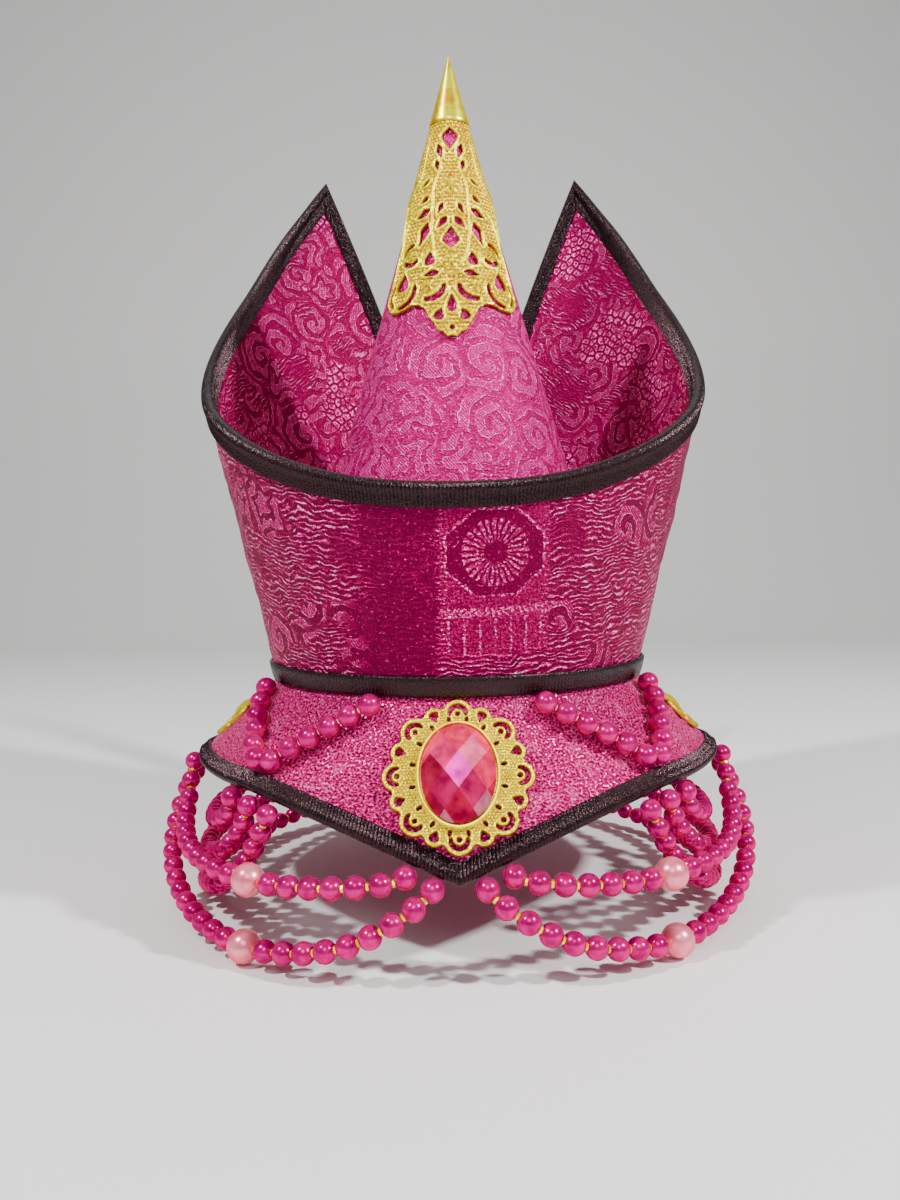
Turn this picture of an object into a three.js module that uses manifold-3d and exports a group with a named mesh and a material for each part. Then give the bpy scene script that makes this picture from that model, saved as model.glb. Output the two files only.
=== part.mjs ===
// A Mongolian wedding hat: a brocade cone stands inside an upturned brim with two high points at the
// back, above a four-pointed skirt with gilt filigree, an oval brooch and swags of round beads.
// Millimetres, +Z up. The front faces -Y, and z = 0 is the waist seam where brim, cone and skirt meet.
// Azimuths are in degrees from the front, positive towards +X.
import * as THREE from 'three';
import { mergeVertices } from 'three/addons/utils/BufferGeometryUtils.js';
import Module from 'manifold-3d';

const wasm = await Module();
wasm.setup();

// Driving dimensions
const GAP = 0.3;                    // clearance between neighbouring pieces
const CLOTH = 2.4;                  // stiffened brocade wall
const SHEET = 1.4;                  // gilt sheet of the filigree pieces
const WAIST_RADIUS = 88;            // outside of brim and skirt at the waist seam
const CONE_BASE_RADIUS = 84.6;
const CONE_HEIGHT = 291;
const CONE_SIDES = 36;              // its facets line up with the filigree's stations
const TIP_BOTTOM = 265;             // where the solid gilt point begins
const TIP_SIDES = 18;
const TIP_PROUD = 0.45;             // how far the point stands out past the sheet below it
const BRIM_FLARE = 0.232;           // growth of the brim's radius per mm of height
const PEAK_AZIMUTH = 149.7;
const NOTCH_AZIMUTH = 177;          // half of the narrow flat at the foot of the back notch
const NOTCH_HEIGHT = 82;
const BAND_HEIGHT = 9;
const BAND_THICKNESS = 1.6;
const RIM_BINDING_WIDTH = 8.5;      // how far the brim's binding reaches onto the cloth
const HEM_BINDING_WIDTH = 6.5;      // and the skirt's
const BINDING_THICKNESS = 1.3;
const BINDING_CLEAR = 0.7;          // play between a binding and the curved cloth inside it
const BINDING_LIP = 1.8;            // how far a binding stands past the cloth's edge
const BEAD_DIAMETER = 9.6;
const PEARL_DIAMETER = 14;          // the one pale pearl on each front string
const STRING_DIAMETER = 9.2;        // plain body of the strings where they run to the back
const BEAD_SPACING = 0.3;           // room for the gold seed between two beads
const THREAD_RADIUS = 0.9;
const BEAD_SIDES = 10;
const TUBE_SIDES = 8;
const STEP_IN_DIAMETERS = 3;        // length of a plain string's straight pieces

// The skirt's edge seen from above, and how far it hangs; its points are at the front and the back
const SKIRT = {
  radius: 117.5, drop: 37.5,
  pointOut: 4.5, pointOutReach: 30, // the points also stand out, over this azimuth
  pointDrop: 28, pointReach: 52, pointCurve: 1.7,
  cornerOut: 10, cornerStart: 35,   // the blunt side corners, from this azimuth on to the side
};

// Stations of the walls, in azimuth from the front or from a point of the skirt
const RIM_STATIONS = [0, 11, 22, 33, 44, 55, 66, 77, 87, 96, 104, 111.5, 118.5, 125, 131, 136.5, 142];
const NOTCH_STATIONS = [PEAK_AZIMUTH, 156.5, 163.5, 170.5, NOTCH_AZIMUTH];
const SKIRT_STEP = 10;

// Rim of the upturned brim, from the middle of the front to the right peak
const RIM_ROWS = [
  { azimuth: 0, height: 87 },
  { azimuth: 27, height: 92 },
  { azimuth: 57, height: 112 },
  { azimuth: 90, height: 146 },
  { azimuth: 120, height: 199 },
  { azimuth: 141, height: 257 },
  { azimuth: PEAK_AZIMUTH, height: 284 },
];

// Lower hem of the cone filigree, on its right half
const HEM_ROWS = [
  { azimuth: 0, height: 156.5 },
  { azimuth: 10, height: 160.5 },
  { azimuth: 20, height: 169.5 },
  { azimuth: 30, height: 171.5 },
  { azimuth: 40, height: 169.5 },
  { azimuth: 50, height: 169.5 },
  { azimuth: 58, height: 174 },
];

// Openings of the cone filigree on its middle line and right half; width across, tall along the cone.
// A crescent bends round a circle of its width and is as thick as it is tall.
const CONE_OPENINGS = [
  { shape: 'kite', azimuth: 0, height: 255, width: 8, tall: 11, tilt: 0 },
  { shape: 'kite', azimuth: 19.9, height: 248.6, width: 3.2, tall: 7.6, tilt: -20 },
  { shape: 'kite', azimuth: 21.9, height: 241.3, width: 2.4, tall: 5.4, tilt: -15 },
  { shape: 'kite', azimuth: 38, height: 232.9, width: 1.9, tall: 5.6, tilt: 58 },
  { shape: 'kite', azimuth: 34.6, height: 224.4, width: 2.7, tall: 5, tilt: 55 },
  { shape: 'kite', azimuth: 33.4, height: 217.2, width: 4.2, tall: 8, tilt: 62 },
  { shape: 'kite', azimuth: 12.4, height: 219, width: 2.4, tall: 5.8, tilt: 22 },
  { shape: 'kite', azimuth: 9.6, height: 212, width: 3.4, tall: 7.4, tilt: 38 },
  { shape: 'kite', azimuth: 0, height: 204.6, width: 8, tall: 10.6, tilt: 180 },
  { shape: 'kite', azimuth: 29, height: 206.8, width: 5.2, tall: 12, tilt: 14 },
  { shape: 'crescent', azimuth: 39.3, height: 197.4, width: 9.4, tall: 2, tilt: -45 },
  { shape: 'crescent', azimuth: 39.3, height: 197.4, width: 9.4, tall: 2.4, tilt: 180 },
  { shape: 'drop', azimuth: 19.8, height: 194.5, width: 5.4, tall: 6.6, tilt: 0 },
  { shape: 'kite', azimuth: 17, height: 187, width: 3.4, tall: 8, tilt: 80 },
  { shape: 'drop', azimuth: 43.6, height: 184.6, width: 8, tall: 9.2, tilt: 0 },
  { shape: 'crescent', azimuth: 44.5, height: 178.5, width: 12, tall: 2, tilt: -100 },
  { shape: 'crescent', azimuth: 43.5, height: 180, width: 15.6, tall: 2.5, tilt: 128 },
  { shape: 'crescent', azimuth: 17.7, height: 181.4, width: 13.4, tall: 2.8, tilt: 144 },
  { shape: 'drop', azimuth: 0, height: 172.5, width: 4.6, tall: 8.4, tilt: 0 },
  { shape: 'drop', azimuth: 8.9, height: 167.3, width: 5, tall: 5.6, tilt: 20 },
  { shape: 'round', azimuth: 0, height: 160.6, width: 2, tall: 2, tilt: 0 },
];

// Raised flowers, buds and leaves on the cone filigree
const CONE_BOSSES = [
  { azimuth: 0, height: 231, width: 9 },
  { azimuth: 0, height: 193, width: 7 },
  { azimuth: 17.7, height: 181.6, width: 6 },
  { azimuth: 39.3, height: 197.4, width: 5.4 },
];

// Oval brooch on the front of the skirt
const BROOCH = {
  height: -29.5, halfWidth: 27, halfTall: 28.2, bigLobe: 3.6, smallLobe: 2.4, lobes: 16,
  stoneWidth: 30, stoneTall: 40, trayWall: 1.6, trayHeight: 4.4, traySunk: 0.5, traySides: 20,
  blankTop: -1, blankBottom: -62, blankReach: 20,
  lowerLift: 2.9,                   // its lower edge lies on the skirt's binding
};

// Openings of its lace; inset is the way in from the lobe's end to the opening's middle
const BIG_LOBE_OPENINGS = [
  { shape: 'horseshoe', width: 6.6, tall: 1.9, tilt: 0, inset: 6.2 },
  { shape: 'kite', width: 2, tall: 2, tilt: 0, inset: 6.2 },
];
const SMALL_LOBE_OPENINGS = [
  { shape: 'drop', width: 4, tall: 4.4, tilt: 180, inset: 4.3 },
];

// Rings of the faceted stone: share of its full size, height above the tray's rim, turn in facets
const STONE_FACETS = 16;
const STONE_ROWS = [
  { share: 1, above: GAP + SHEET - BROOCH.trayHeight, turn: 0 },
  { share: 1, above: -0.6, turn: 0 },
  { share: 0.86, above: 2, turn: 0.5 },
  { share: 0.6, above: 4, turn: 0 },
  { share: 0.32, above: 5, turn: 0.5 },
];

// Small pierced rosette on each side of the skirt
const ROSETTE = {
  height: -17.2, radius: 16.4, lobe: 2, lobes: 8,
  petalWidth: 5.2, petalTall: 7.6, petalShare: 0.68,
  bossWidth: 11, bossHeight: 2.6, bossSides: 8,
  blankTop: -1, blankBottom: -34, blankReach: 20,
};

// Bead strings on the right side: one lies on the skirt, the others hang from its edge.
// A front string has single beads before and after its pearl, and a plain body past them.
const UPPER_BEADS = 12;
const UPPER_STRING = [
  { azimuth: 19.9, height: -3, lift: 0 },
  { azimuth: 27.1, height: -10.1, lift: 0 },
  { azimuth: 36, height: -19.7, lift: 0 },
  { azimuth: 40.1, height: -24.5, lift: 0 },
  { azimuth: 43.6, height: -29.9, lift: 0.6 },
  { azimuth: 49.6, height: -28.5, lift: 0.6 },
  { azimuth: 52.2, height: -22.9, lift: 0 },
  { azimuth: 59.7, height: -13.9, lift: 0 },
  { azimuth: 68.2, height: -2.4, lift: 0 },
];
const FRONT_UPPER = {
  from: 9.9, to: 90, before: 7, after: 1,
  rows: [
    { azimuth: 17, radius: 127.2, height: -67.2 },
    { azimuth: 26, radius: 128.6, height: -69.6 },
    { azimuth: 38, radius: 130, height: -71.4 },
    { azimuth: 52, radius: 131.6, height: -71.6 },
    { azimuth: 65, radius: 132.4, height: -70.6 },
    { azimuth: 76, radius: 132.4, height: -66.4 },
    { azimuth: 85, radius: 132.4, height: -58 },
  ],
};
const FRONT_LOWER = {
  from: 4.9, to: 96.6, before: 9, after: 1,
  rows: [
    { azimuth: 10.6, radius: 129.4, height: -78.6 },
    { azimuth: 18.5, radius: 131.6, height: -88.6 },
    { azimuth: 28, radius: 132.6, height: -94.6 },
    { azimuth: 40, radius: 133.4, height: -97.8 },
    { azimuth: 52, radius: 134.4, height: -96.6 },
    { azimuth: 64, radius: 136, height: -92.6 },
    { azimuth: 76, radius: 138.6, height: -84 },
    { azimuth: 86, radius: 139.6, height: -71 },
    { azimuth: 93, radius: 137, height: -56 },
  ],
};
const BACK_LOWER = {
  from: 40.2, to: 176.4,
  rows: [
    { azimuth: 43.6, radius: 121, height: -58 },
    { azimuth: 48.5, radius: 121, height: -70 },
    { azimuth: 55.5, radius: 120.8, height: -80.5 },
    { azimuth: 66, radius: 121.4, height: -90 },
    { azimuth: 82, radius: 124, height: -96.6 },
    { azimuth: 104, radius: 129, height: -99 },
    { azimuth: 128, radius: 132, height: -96.6 },
    { azimuth: 152, radius: 131, height: -88 },
    { azimuth: 168, radius: 128, height: -78 },
  ],
};
const BACK_UPPER = {
  from: 46.2, to: 171,
  rows: [
    { azimuth: 49.8, radius: 120.4, height: -55.6 },
    { azimuth: 55.2, radius: 120.4, height: -65 },
    { azimuth: 63, radius: 120.8, height: -73 },
    { azimuth: 76, radius: 122, height: -79.6 },
    { azimuth: 96, radius: 125.6, height: -82 },
    { azimuth: 120, radius: 129, height: -80 },
    { azimuth: 145, radius: 128, height: -75.4 },
    { azimuth: 162, radius: 126, height: -71 },
  ],
};
const SIDE_SHORT = {
  from: 52.4, to: 127.6,
  rows: [
    { azimuth: 56.6, radius: 120, height: -53.4 },
    { azimuth: 64, radius: 119.4, height: -59.6 },
    { azimuth: 76, radius: 119, height: -63.4 },
    { azimuth: 90, radius: 119, height: -64.6 },
    { azimuth: 104, radius: 119, height: -63.4 },
    { azimuth: 116, radius: 119.4, height: -59.6 },
    { azimuth: 123.4, radius: 120, height: -53.4 },
  ],
};

const BROCADE = new THREE.MeshStandardMaterial({ color: 0xc23a80, roughness: 0.55, metalness: 0.1 });
const RIBBON = new THREE.MeshStandardMaterial({ color: 0x241a1c, roughness: 0.6, metalness: 0 });
const GILT = new THREE.MeshStandardMaterial({ color: 0xe0c24a, roughness: 0.3, metalness: 1 });
const STONE = new THREE.MeshStandardMaterial({ color: 0xc2305f, roughness: 0.08, metalness: 0 });
const BEAD = new THREE.MeshStandardMaterial({ color: 0xd0107a, roughness: 0.18, metalness: 0 });

const radians = (degrees) => degrees * Math.PI / 180;
const range = (count) => Array.from({ length: count }, (_, index) => index);

// A point from an azimuth, a radius from the axis and a height
function place(azimuth, radius, height) {
  const angle = radians(azimuth);
  return new THREE.Vector3(radius * Math.sin(angle), -radius * Math.cos(angle), height);
}

// Smooth height between the rows of a table, by a cubic through each row with averaged slopes
function smoothHeight(rows, azimuth) {
  const last = rows.length - 1;
  const slope = (index) => {
    const before = rows[Math.max(index - 1, 0)];
    const after = rows[Math.min(index + 1, last)];
    return (after.height - before.height) / (after.azimuth - before.azimuth);
  };
  const next = Math.max(1, rows.findIndex((row) => row.azimuth >= azimuth - 1e-9));
  const start = rows[next - 1];
  const end = rows[next];
  const span = end.azimuth - start.azimuth;
  const t = (azimuth - start.azimuth) / span;
  const startSlope = next === 1 ? 0 : slope(next - 1) * span;
  const endSlope = slope(next) * span;
  return start.height * (2 * t ** 3 - 3 * t ** 2 + 1) + startSlope * (t ** 3 - 2 * t ** 2 + t)
    + end.height * (3 * t ** 2 - 2 * t ** 3) + endSlope * (t ** 3 - t ** 2);
}

// Closed solid through rings of points with the same count; the ends are joined up or capped
function loft(rings, joined) {
  const count = rings[0].length;
  const index = [];
  const steps = joined ? rings.length : rings.length - 1;
  for (const row of range(steps)) {
    const here = row * count;
    const there = ((row + 1) % rings.length) * count;
    for (const column of range(count)) {
      const next = (column + 1) % count;
      index.push(here + column, there + column, there + next);
      index.push(here + column, there + next, here + next);
    }
  }
  if (!joined) {
    const top = (rings.length - 1) * count;
    for (const column of range(count - 2)) {
      index.push(0, column + 1, column + 2);
      index.push(top, top + column + 2, top + column + 1);
    }
  }
  const geometry = new THREE.BufferGeometry().setFromPoints(rings.flat());
  geometry.setIndex(index);
  return facingOut(geometry);
}

// Turns a closed solid's triangles round if they enclose a negative volume
function facingOut(geometry) {
  const corners = geometry.index.array;
  const position = geometry.getAttribute('position');
  const corner = (at) => new THREE.Vector3().fromBufferAttribute(position, corners[at]);
  let volume = 0;
  for (let at = 0; at < corners.length; at += 3) {
    volume += corner(at).dot(corner(at + 1).cross(corner(at + 2)));
  }
  if (volume < 0) {
    const flipped = Array.from(corners);
    for (let at = 0; at < flipped.length; at += 3) {
      [flipped[at + 1], flipped[at + 2]] = [flipped[at + 2], flipped[at + 1]];
    }
    geometry.setIndex(flipped);
  }
  return geometry;
}

// A closed mesh as a solid for joins and cuts, and a solid as a mesh again
function toSolid(geometry) {
  const bare = geometry.clone();
  bare.deleteAttribute('normal');
  bare.deleteAttribute('uv');
  const merged = mergeVertices(bare, 1e-4);
  const corners = Array.from(merged.index.array);
  const kept = [];
  for (let at = 0; at < corners.length; at += 3) {
    const [a, b, c] = corners.slice(at, at + 3);
    if (a !== b && b !== c && c !== a) {
      kept.push(a, b, c);
    }
  }
  return new wasm.Manifold(new wasm.Mesh({
    numProp: 3,
    vertProperties: Float32Array.from(merged.getAttribute('position').array),
    triVerts: Uint32Array.from(kept),
  }));
}

function toGeometry(solid) {
  const mesh = solid.getMesh();
  const geometry = new THREE.BufferGeometry();
  geometry.setAttribute('position', new THREE.BufferAttribute(mesh.vertProperties, 3));
  geometry.setIndex(new THREE.BufferAttribute(mesh.triVerts, 1));
  return geometry;
}

const hat = new THREE.Group();

function add(name, geometry, material) {
  const loose = geometry.index ? geometry.toNonIndexed() : geometry;
  loose.computeVertexNormals();
  const mesh = new THREE.Mesh(loose, material);
  mesh.name = name;
  hat.add(mesh);
}

// The brim's wall: a cone that opens upwards, with a depth measured from its outer face
function brimPoint(azimuth, height, out) {
  const tilt = Math.atan(BRIM_FLARE);
  const radius = WAIST_RADIUS + BRIM_FLARE * height;
  return place(azimuth, radius + out * Math.cos(tilt), height - out * Math.sin(tilt));
}

// Degrees away from the front, on either side
function fromFront(azimuth) {
  return Math.abs(THREE.MathUtils.euclideanModulo(azimuth + 180, 360) - 180);
}

// Top edge of the brim's cloth: the rim to the peak, then down the straight side of the notch
function brimTop(azimuth) {
  const side = fromFront(azimuth);
  if (side <= PEAK_AZIMUTH) {
    return smoothHeight(RIM_ROWS, side) - BINDING_LIP;
  }
  const fall = Math.min((side - PEAK_AZIMUTH) / (NOTCH_AZIMUTH - PEAK_AZIMUTH), 1);
  return THREE.MathUtils.lerp(RIM_ROWS.at(-1).height, NOTCH_HEIGHT, fall) - BINDING_LIP;
}

// How far a value has gone from start to end, kept between 0 and 1
function progress(value, start, end) {
  return THREE.MathUtils.clamp((value - start) / (end - start), 0, 1);
}

// The skirt's edge: round, with points at front and back and blunt corners at both sides
function skirtEdge(azimuth) {
  const fromPoint = Math.min(fromFront(azimuth), 180 - fromFront(azimuth));
  const point = progress(fromPoint, SKIRT.pointReach, 0) ** SKIRT.pointCurve;
  const standOut = progress(fromPoint, SKIRT.pointOutReach, 0) ** 2;
  const corner = progress(fromPoint, SKIRT.cornerStart, 90) ** 2;
  return {
    radius: SKIRT.radius + SKIRT.pointOut * standOut + SKIRT.cornerOut * corner,
    height: -(SKIRT.drop + SKIRT.pointDrop * point),
  };
}

// A point of the skirt: along its straight slope by height, then out from its face, then past its edge
function skirtPoint(azimuth, height, out, beyond = 0) {
  const edge = skirtEdge(azimuth);
  const run = edge.radius - WAIST_RADIUS;
  const length = Math.hypot(run, edge.height);
  const along = { radius: run / length, height: edge.height / length };
  const radius = WAIST_RADIUS + run * height / edge.height;
  return place(
    azimuth,
    radius - out * along.height + beyond * along.radius,
    height + out * along.radius + beyond * along.height,
  );
}

const brimHalf = [...RIM_STATIONS, ...NOTCH_STATIONS];
const brimStations = [...brimHalf, ...brimHalf.slice(1).reverse().map((azimuth) => 360 - azimuth)];
const skirtStations = range(360 / SKIRT_STEP).map((step) => step * SKIRT_STEP);

function makeCone() {
  const inset = CLOTH / Math.cos(coneTilt);
  const bottom = GAP / 2;
  const profile = [
    new THREE.Vector2(0, CONE_HEIGHT - inset / Math.tan(coneTilt)),
    new THREE.Vector2(coneRadius(bottom) - inset, bottom),
    new THREE.Vector2(coneRadius(bottom), bottom),
    new THREE.Vector2(0, CONE_HEIGHT),
  ];
  const geometry = new THREE.LatheGeometry(profile, CONE_SIDES).rotateX(Math.PI / 2);
  add('crown_cone', geometry, BROCADE);
}

function makeBrim() {
  const rings = brimStations.map((azimuth) => [
    brimPoint(azimuth, GAP / 2, 0),
    brimPoint(azimuth, brimTop(azimuth), 0),
    brimPoint(azimuth, brimTop(azimuth), -CLOTH),
    brimPoint(azimuth, GAP / 2, -CLOTH),
  ]);
  add('upturned_brim', loft(rings, true), BROCADE);
}

function makeBand() {
  const rings = brimStations.map((azimuth) => [
    brimPoint(azimuth, GAP / 2, GAP),
    brimPoint(azimuth, BAND_HEIGHT, GAP),
    brimPoint(azimuth, BAND_HEIGHT, GAP + BAND_THICKNESS),
    brimPoint(azimuth, GAP / 2, GAP + BAND_THICKNESS),
  ]);
  add('crown_band', loft(rings, true), RIBBON);
}

function makeSkirt() {
  const rings = skirtStations.map((azimuth) => {
    const bottom = skirtEdge(azimuth).height;
    return [
      skirtPoint(azimuth, -GAP / 2, 0),
      skirtPoint(azimuth, bottom, 0),
      skirtPoint(azimuth, bottom, -CLOTH),
      skirtPoint(azimuth, -GAP / 2, -CLOTH),
    ];
  });
  add('skirt', loft(rings, true), BROCADE);
}

// A point on the flat facet between two stations of a wall
function onFacet(surface, stations, azimuth, height, out) {
  const turned = THREE.MathUtils.euclideanModulo(azimuth, 360);
  const next = stations.findIndex((station) => station > turned);
  const end = next < 0 ? 360 : stations[next];
  const start = next < 0 ? stations.at(-1) : stations[next - 1];
  const share = (turned - start) / (end - start);
  return surface(start, height, out).lerp(surface(end, height, out), share);
}

// A folded strip along a closed edge: a U-shaped section round the cloth, mitred at the corners.
// Its corners are worked out on the unrolled cloth, across and up the slope, and put on its facets.
function bindEdge(name, stations, edge, surface, inside, width) {
  const half = CLOTH / 2 + BINDING_CLEAR;
  const full = half + BINDING_THICKNESS;
  const fold = 0.9 * full;
  const section = [
    { out: full, in: width },
    { out: fold, in: -BINDING_LIP },
    { out: -fold, in: -BINDING_LIP },
    { out: -full, in: width },
    { out: -half, in: width },
    { out: -half, in: -GAP },
    { out: half, in: -GAP },
    { out: half, in: width },
  ];
  const count = stations.length;
  const edges = stations.map(edge);
  const across = (index) => {
    const here = edges[index % count];
    const there = edges[(index + 1) % count];
    const step = stations[(index + 1) % count] - stations[index % count];
    const turn = THREE.MathUtils.euclideanModulo(step, 360);
    const along = radians(turn) * (here.radius + there.radius) / 2;
    const up = (there.height - here.height) / here.rise;
    return new THREE.Vector2(-up, along).normalize().multiplyScalar(inside);
  };
  const rings = range(count).map((index) => {
    const before = across(index + count - 1);
    const after = across(index);
    const mitre = before.clone().add(after).divideScalar(1 + before.dot(after));
    const { radius, height, rise } = edges[index];
    return section.map((corner) => onFacet(
      surface,
      stations,
      stations[index] + THREE.MathUtils.radToDeg(mitre.x * corner.in / radius),
      height + mitre.y * corner.in * rise,
      corner.out - CLOTH / 2,
    ));
  });
  add(name, loft(rings, true), RIBBON);
}

function makeBindings() {
  const clothBelow = -1;
  const clothAbove = 1;
  const brimEdge = (azimuth) => {
    const height = brimTop(azimuth);
    return { radius: WAIST_RADIUS + BRIM_FLARE * height, height, rise: Math.cos(Math.atan(BRIM_FLARE)) };
  };
  bindEdge('brim_binding', brimStations, brimEdge, brimPoint, clothBelow, RIM_BINDING_WIDTH);
  const skirtHem = (azimuth) => {
    const { radius, height } = skirtEdge(azimuth);
    return { radius, height, rise: -height / Math.hypot(radius - WAIST_RADIUS, height) };
  };
  bindEdge('skirt_binding', skirtStations, skirtHem, skirtPoint, clothAbove, HEM_BINDING_WIDTH);
}

// Outline of a bent slot about its circle of radius 1, pointed at both ends of its spread
function bentSlot(spread, thickness, outerStops, innerStops) {
  const at = (stop, radius) => {
    const angle = radians(stop * spread / 2);
    return [radius * Math.sin(angle), radius * Math.cos(angle)];
  };
  return [
    at(-1, 1), ...outerStops.map((stop) => at(stop, 1 + thickness)),
    at(1, 1), ...innerStops.map((stop) => at(stop, 1 - thickness)),
  ];
}

// Flat outlines for the openings, as wide and tall as asked and turned by their tilt
function opening(shape, width, tall, tilt) {
  const bent = shape === 'crescent' || shape === 'horseshoe';
  const halfWidth = width / 2;
  const halfTall = bent ? halfWidth : tall / 2;
  const outlines = {
    round: range(6).map((step) => [Math.cos(step * Math.PI / 3), Math.sin(step * Math.PI / 3)]),
    kite: [[0, -1], [1, 0.1], [0, 1], [-1, 0.1]],
    drop: [[0, 1], [-0.9, -0.4], [0, -1], [0.9, -0.4]],
    crescent: bentSlot(110, tall / width, [-0.6, 0, 0.6], [0]),
    horseshoe: bentSlot(205, tall / width, [-0.6, 0, 0.6], [0.5, 0, -0.5]),
  };
  const turn = radians(tilt);
  return outlines[shape].map(([x, y]) => new THREE.Vector2(x * halfWidth, y * halfTall)
    .rotateAround(new THREE.Vector2(), turn));
}

// A prism from a flat outline and a function that puts a flat point at a depth
function prism(flatOutline, at, low, high) {
  const outline = THREE.ShapeUtils.isClockWise(flatOutline) ? [...flatOutline].reverse() : flatOutline;
  const count = outline.length;
  const points = [low, high].flatMap((depth) => outline.map((flat) => at(flat.x, flat.y, depth)));
  const index = [];
  for (const [a, b, c] of THREE.ShapeUtils.triangulateShape(outline, [])) {
    index.push(a, b, c);
    index.push(count + a, count + c, count + b);
  }
  for (const here of range(count)) {
    const next = (here + 1) % count;
    index.push(here, count + here, count + next);
    index.push(here, count + next, next);
  }
  const geometry = new THREE.BufferGeometry().setFromPoints(points);
  geometry.setIndex(index);
  return toSolid(facingOut(geometry));
}

// Both sides of a table that lists the middle line and the right half
function bothSides(rows) {
  const left = rows.filter((row) => row.azimuth > 0)
    .map((row) => ({ ...row, azimuth: -row.azimuth, mirrored: true }));
  return [...rows, ...left];
}

const coneTilt = Math.atan(CONE_BASE_RADIUS / CONE_HEIGHT);

function coneRadius(height) {
  return CONE_BASE_RADIUS * (1 - height / CONE_HEIGHT);
}

function conePoint(azimuth, height, out) {
  return place(azimuth, coneRadius(height) + out / Math.cos(coneTilt), height);
}

// Gilt sheet round the front of the cone: cut from a curved panel, joined to the solid point
function makeConeFiligree() {
  const cutDepth = 1;
  const reliefHeight = 1;
  const tuck = 0.6;
  const outside = GAP + SHEET;
  const half = HEM_ROWS.map((row) => row.azimuth);
  const stations = [...half.slice(1).reverse().map((azimuth) => -azimuth), ...half];
  const panel = toSolid(loft(stations.map((azimuth) => {
    const hem = smoothHeight(HEM_ROWS, Math.abs(azimuth));
    return [
      conePoint(azimuth, hem, GAP),
      conePoint(azimuth, TIP_BOTTOM + tuck, GAP),
      conePoint(azimuth, TIP_BOTTOM + tuck, outside),
      conePoint(azimuth, hem, outside),
    ];
  }), false));

  const onCone = (row) => (x, y, depth) => {
    const turn = THREE.MathUtils.radToDeg(x / (coneRadius(row.height) + SHEET));
    const azimuth = row.azimuth + (row.mirrored ? -turn : turn);
    return conePoint(azimuth, row.height + y, 0).add(place(row.azimuth, depth, 0));
  };
  const cuts = bothSides(CONE_OPENINGS).map((row) => {
    const outline = opening(row.shape, row.width, row.tall, row.tilt);
    return prism(outline, onCone(row), GAP - cutDepth, outside + cutDepth);
  });
  const bosses = bothSides(CONE_BOSSES).map((row) => {
    const outline = opening('round', row.width, row.width, 0);
    return prism(outline, onCone(row), outside - SHEET / 2, outside + reliefHeight);
  });
  const apex = (out) => new THREE.Vector2(0, CONE_HEIGHT + out / Math.sin(coneTilt));
  const foot = (out) => new THREE.Vector2(-conePoint(0, TIP_BOTTOM, out).y, TIP_BOTTOM);
  const inner = GAP + TIP_PROUD;
  const outer = outside + TIP_PROUD;
  const profile = [apex(inner), foot(inner), foot(outer), apex(outer)];
  const point = new THREE.LatheGeometry(profile, TIP_SIDES).rotateX(Math.PI / 2);
  const pierced = wasm.Manifold.difference([panel, ...cuts]);
  add('cone_filigree', toGeometry(wasm.Manifold.union([pierced, ...bosses, toSolid(point)])), GILT);
}

// A curved blank on the skirt, of which the filigree pieces are cut; lift is its height off the cloth
function skirtBlank(middle, shape, lift) {
  const steps = 2 * shape.blankReach / SKIRT_STEP;
  return toSolid(loft(range(steps + 1).map((step) => {
    const azimuth = middle - shape.blankReach + step * SKIRT_STEP;
    return [
      skirtPoint(azimuth, shape.blankTop, lift(shape.blankTop)),
      skirtPoint(azimuth, shape.blankBottom, lift(shape.blankBottom)),
      skirtPoint(azimuth, shape.blankBottom, lift(shape.blankBottom) + SHEET),
      skirtPoint(azimuth, shape.blankTop, lift(shape.blankTop) + SHEET),
    ];
  }), false));
}

// Flat axes on such a blank at a point: across, up the slope and out
function skirtFrame(azimuth, height, lift) {
  const origin = skirtPoint(azimuth, height, lift(height));
  const up = skirtPoint(azimuth, height + 1, lift(height + 1)).sub(origin).normalize();
  const across = place(azimuth + 90, 1, 0);
  const out = across.clone().cross(up);
  return (x, y, depth) => origin.clone()
    .addScaledVector(across, x).addScaledVector(up, y).addScaledVector(out, depth);
}

// Outline of rounded lobes on an oval, with a lobe height for each in turn
function lobedOutline(halfWidth, halfTall, heights, count) {
  const shares = [{ turn: 0, lift: 0 }, { turn: 0.3, lift: 0.95 }, { turn: 0.7, lift: 0.95 }];
  return range(count).flatMap((lobe) => shares.map((share) => {
    const angle = (lobe - 0.5 + share.turn) * 2 * Math.PI / count;
    const lift = heights[lobe % heights.length] * share.lift;
    return new THREE.Vector2((halfWidth + lift) * Math.sin(angle), (halfTall + lift) * Math.cos(angle));
  }));
}

// An opening moved out along a spoke of the oval and turned to point along it
function onSpoke(outline, angle, halfWidth, halfTall) {
  return outline.map((flat) => flat.clone().rotateAround(new THREE.Vector2(), -angle)
    .add(new THREE.Vector2(halfWidth * Math.sin(angle), halfTall * Math.cos(angle))));
}

function oval(halfWidth, halfTall, count) {
  return range(count).map((step) => {
    const angle = step * 2 * Math.PI / count;
    return new THREE.Vector2(halfWidth * Math.sin(angle), halfTall * Math.cos(angle));
  });
}

// Lace cut from a blank: trimmed to its outline, with its openings cut through
function lace(blank, outline, openings, at) {
  const cutDepth = 8;
  const through = (flat) => prism(flat, at, -cutDepth, cutDepth);
  const trimmed = wasm.Manifold.intersection([blank, through(outline)]);
  return wasm.Manifold.difference([trimmed, ...openings.map(through)]);
}

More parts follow.
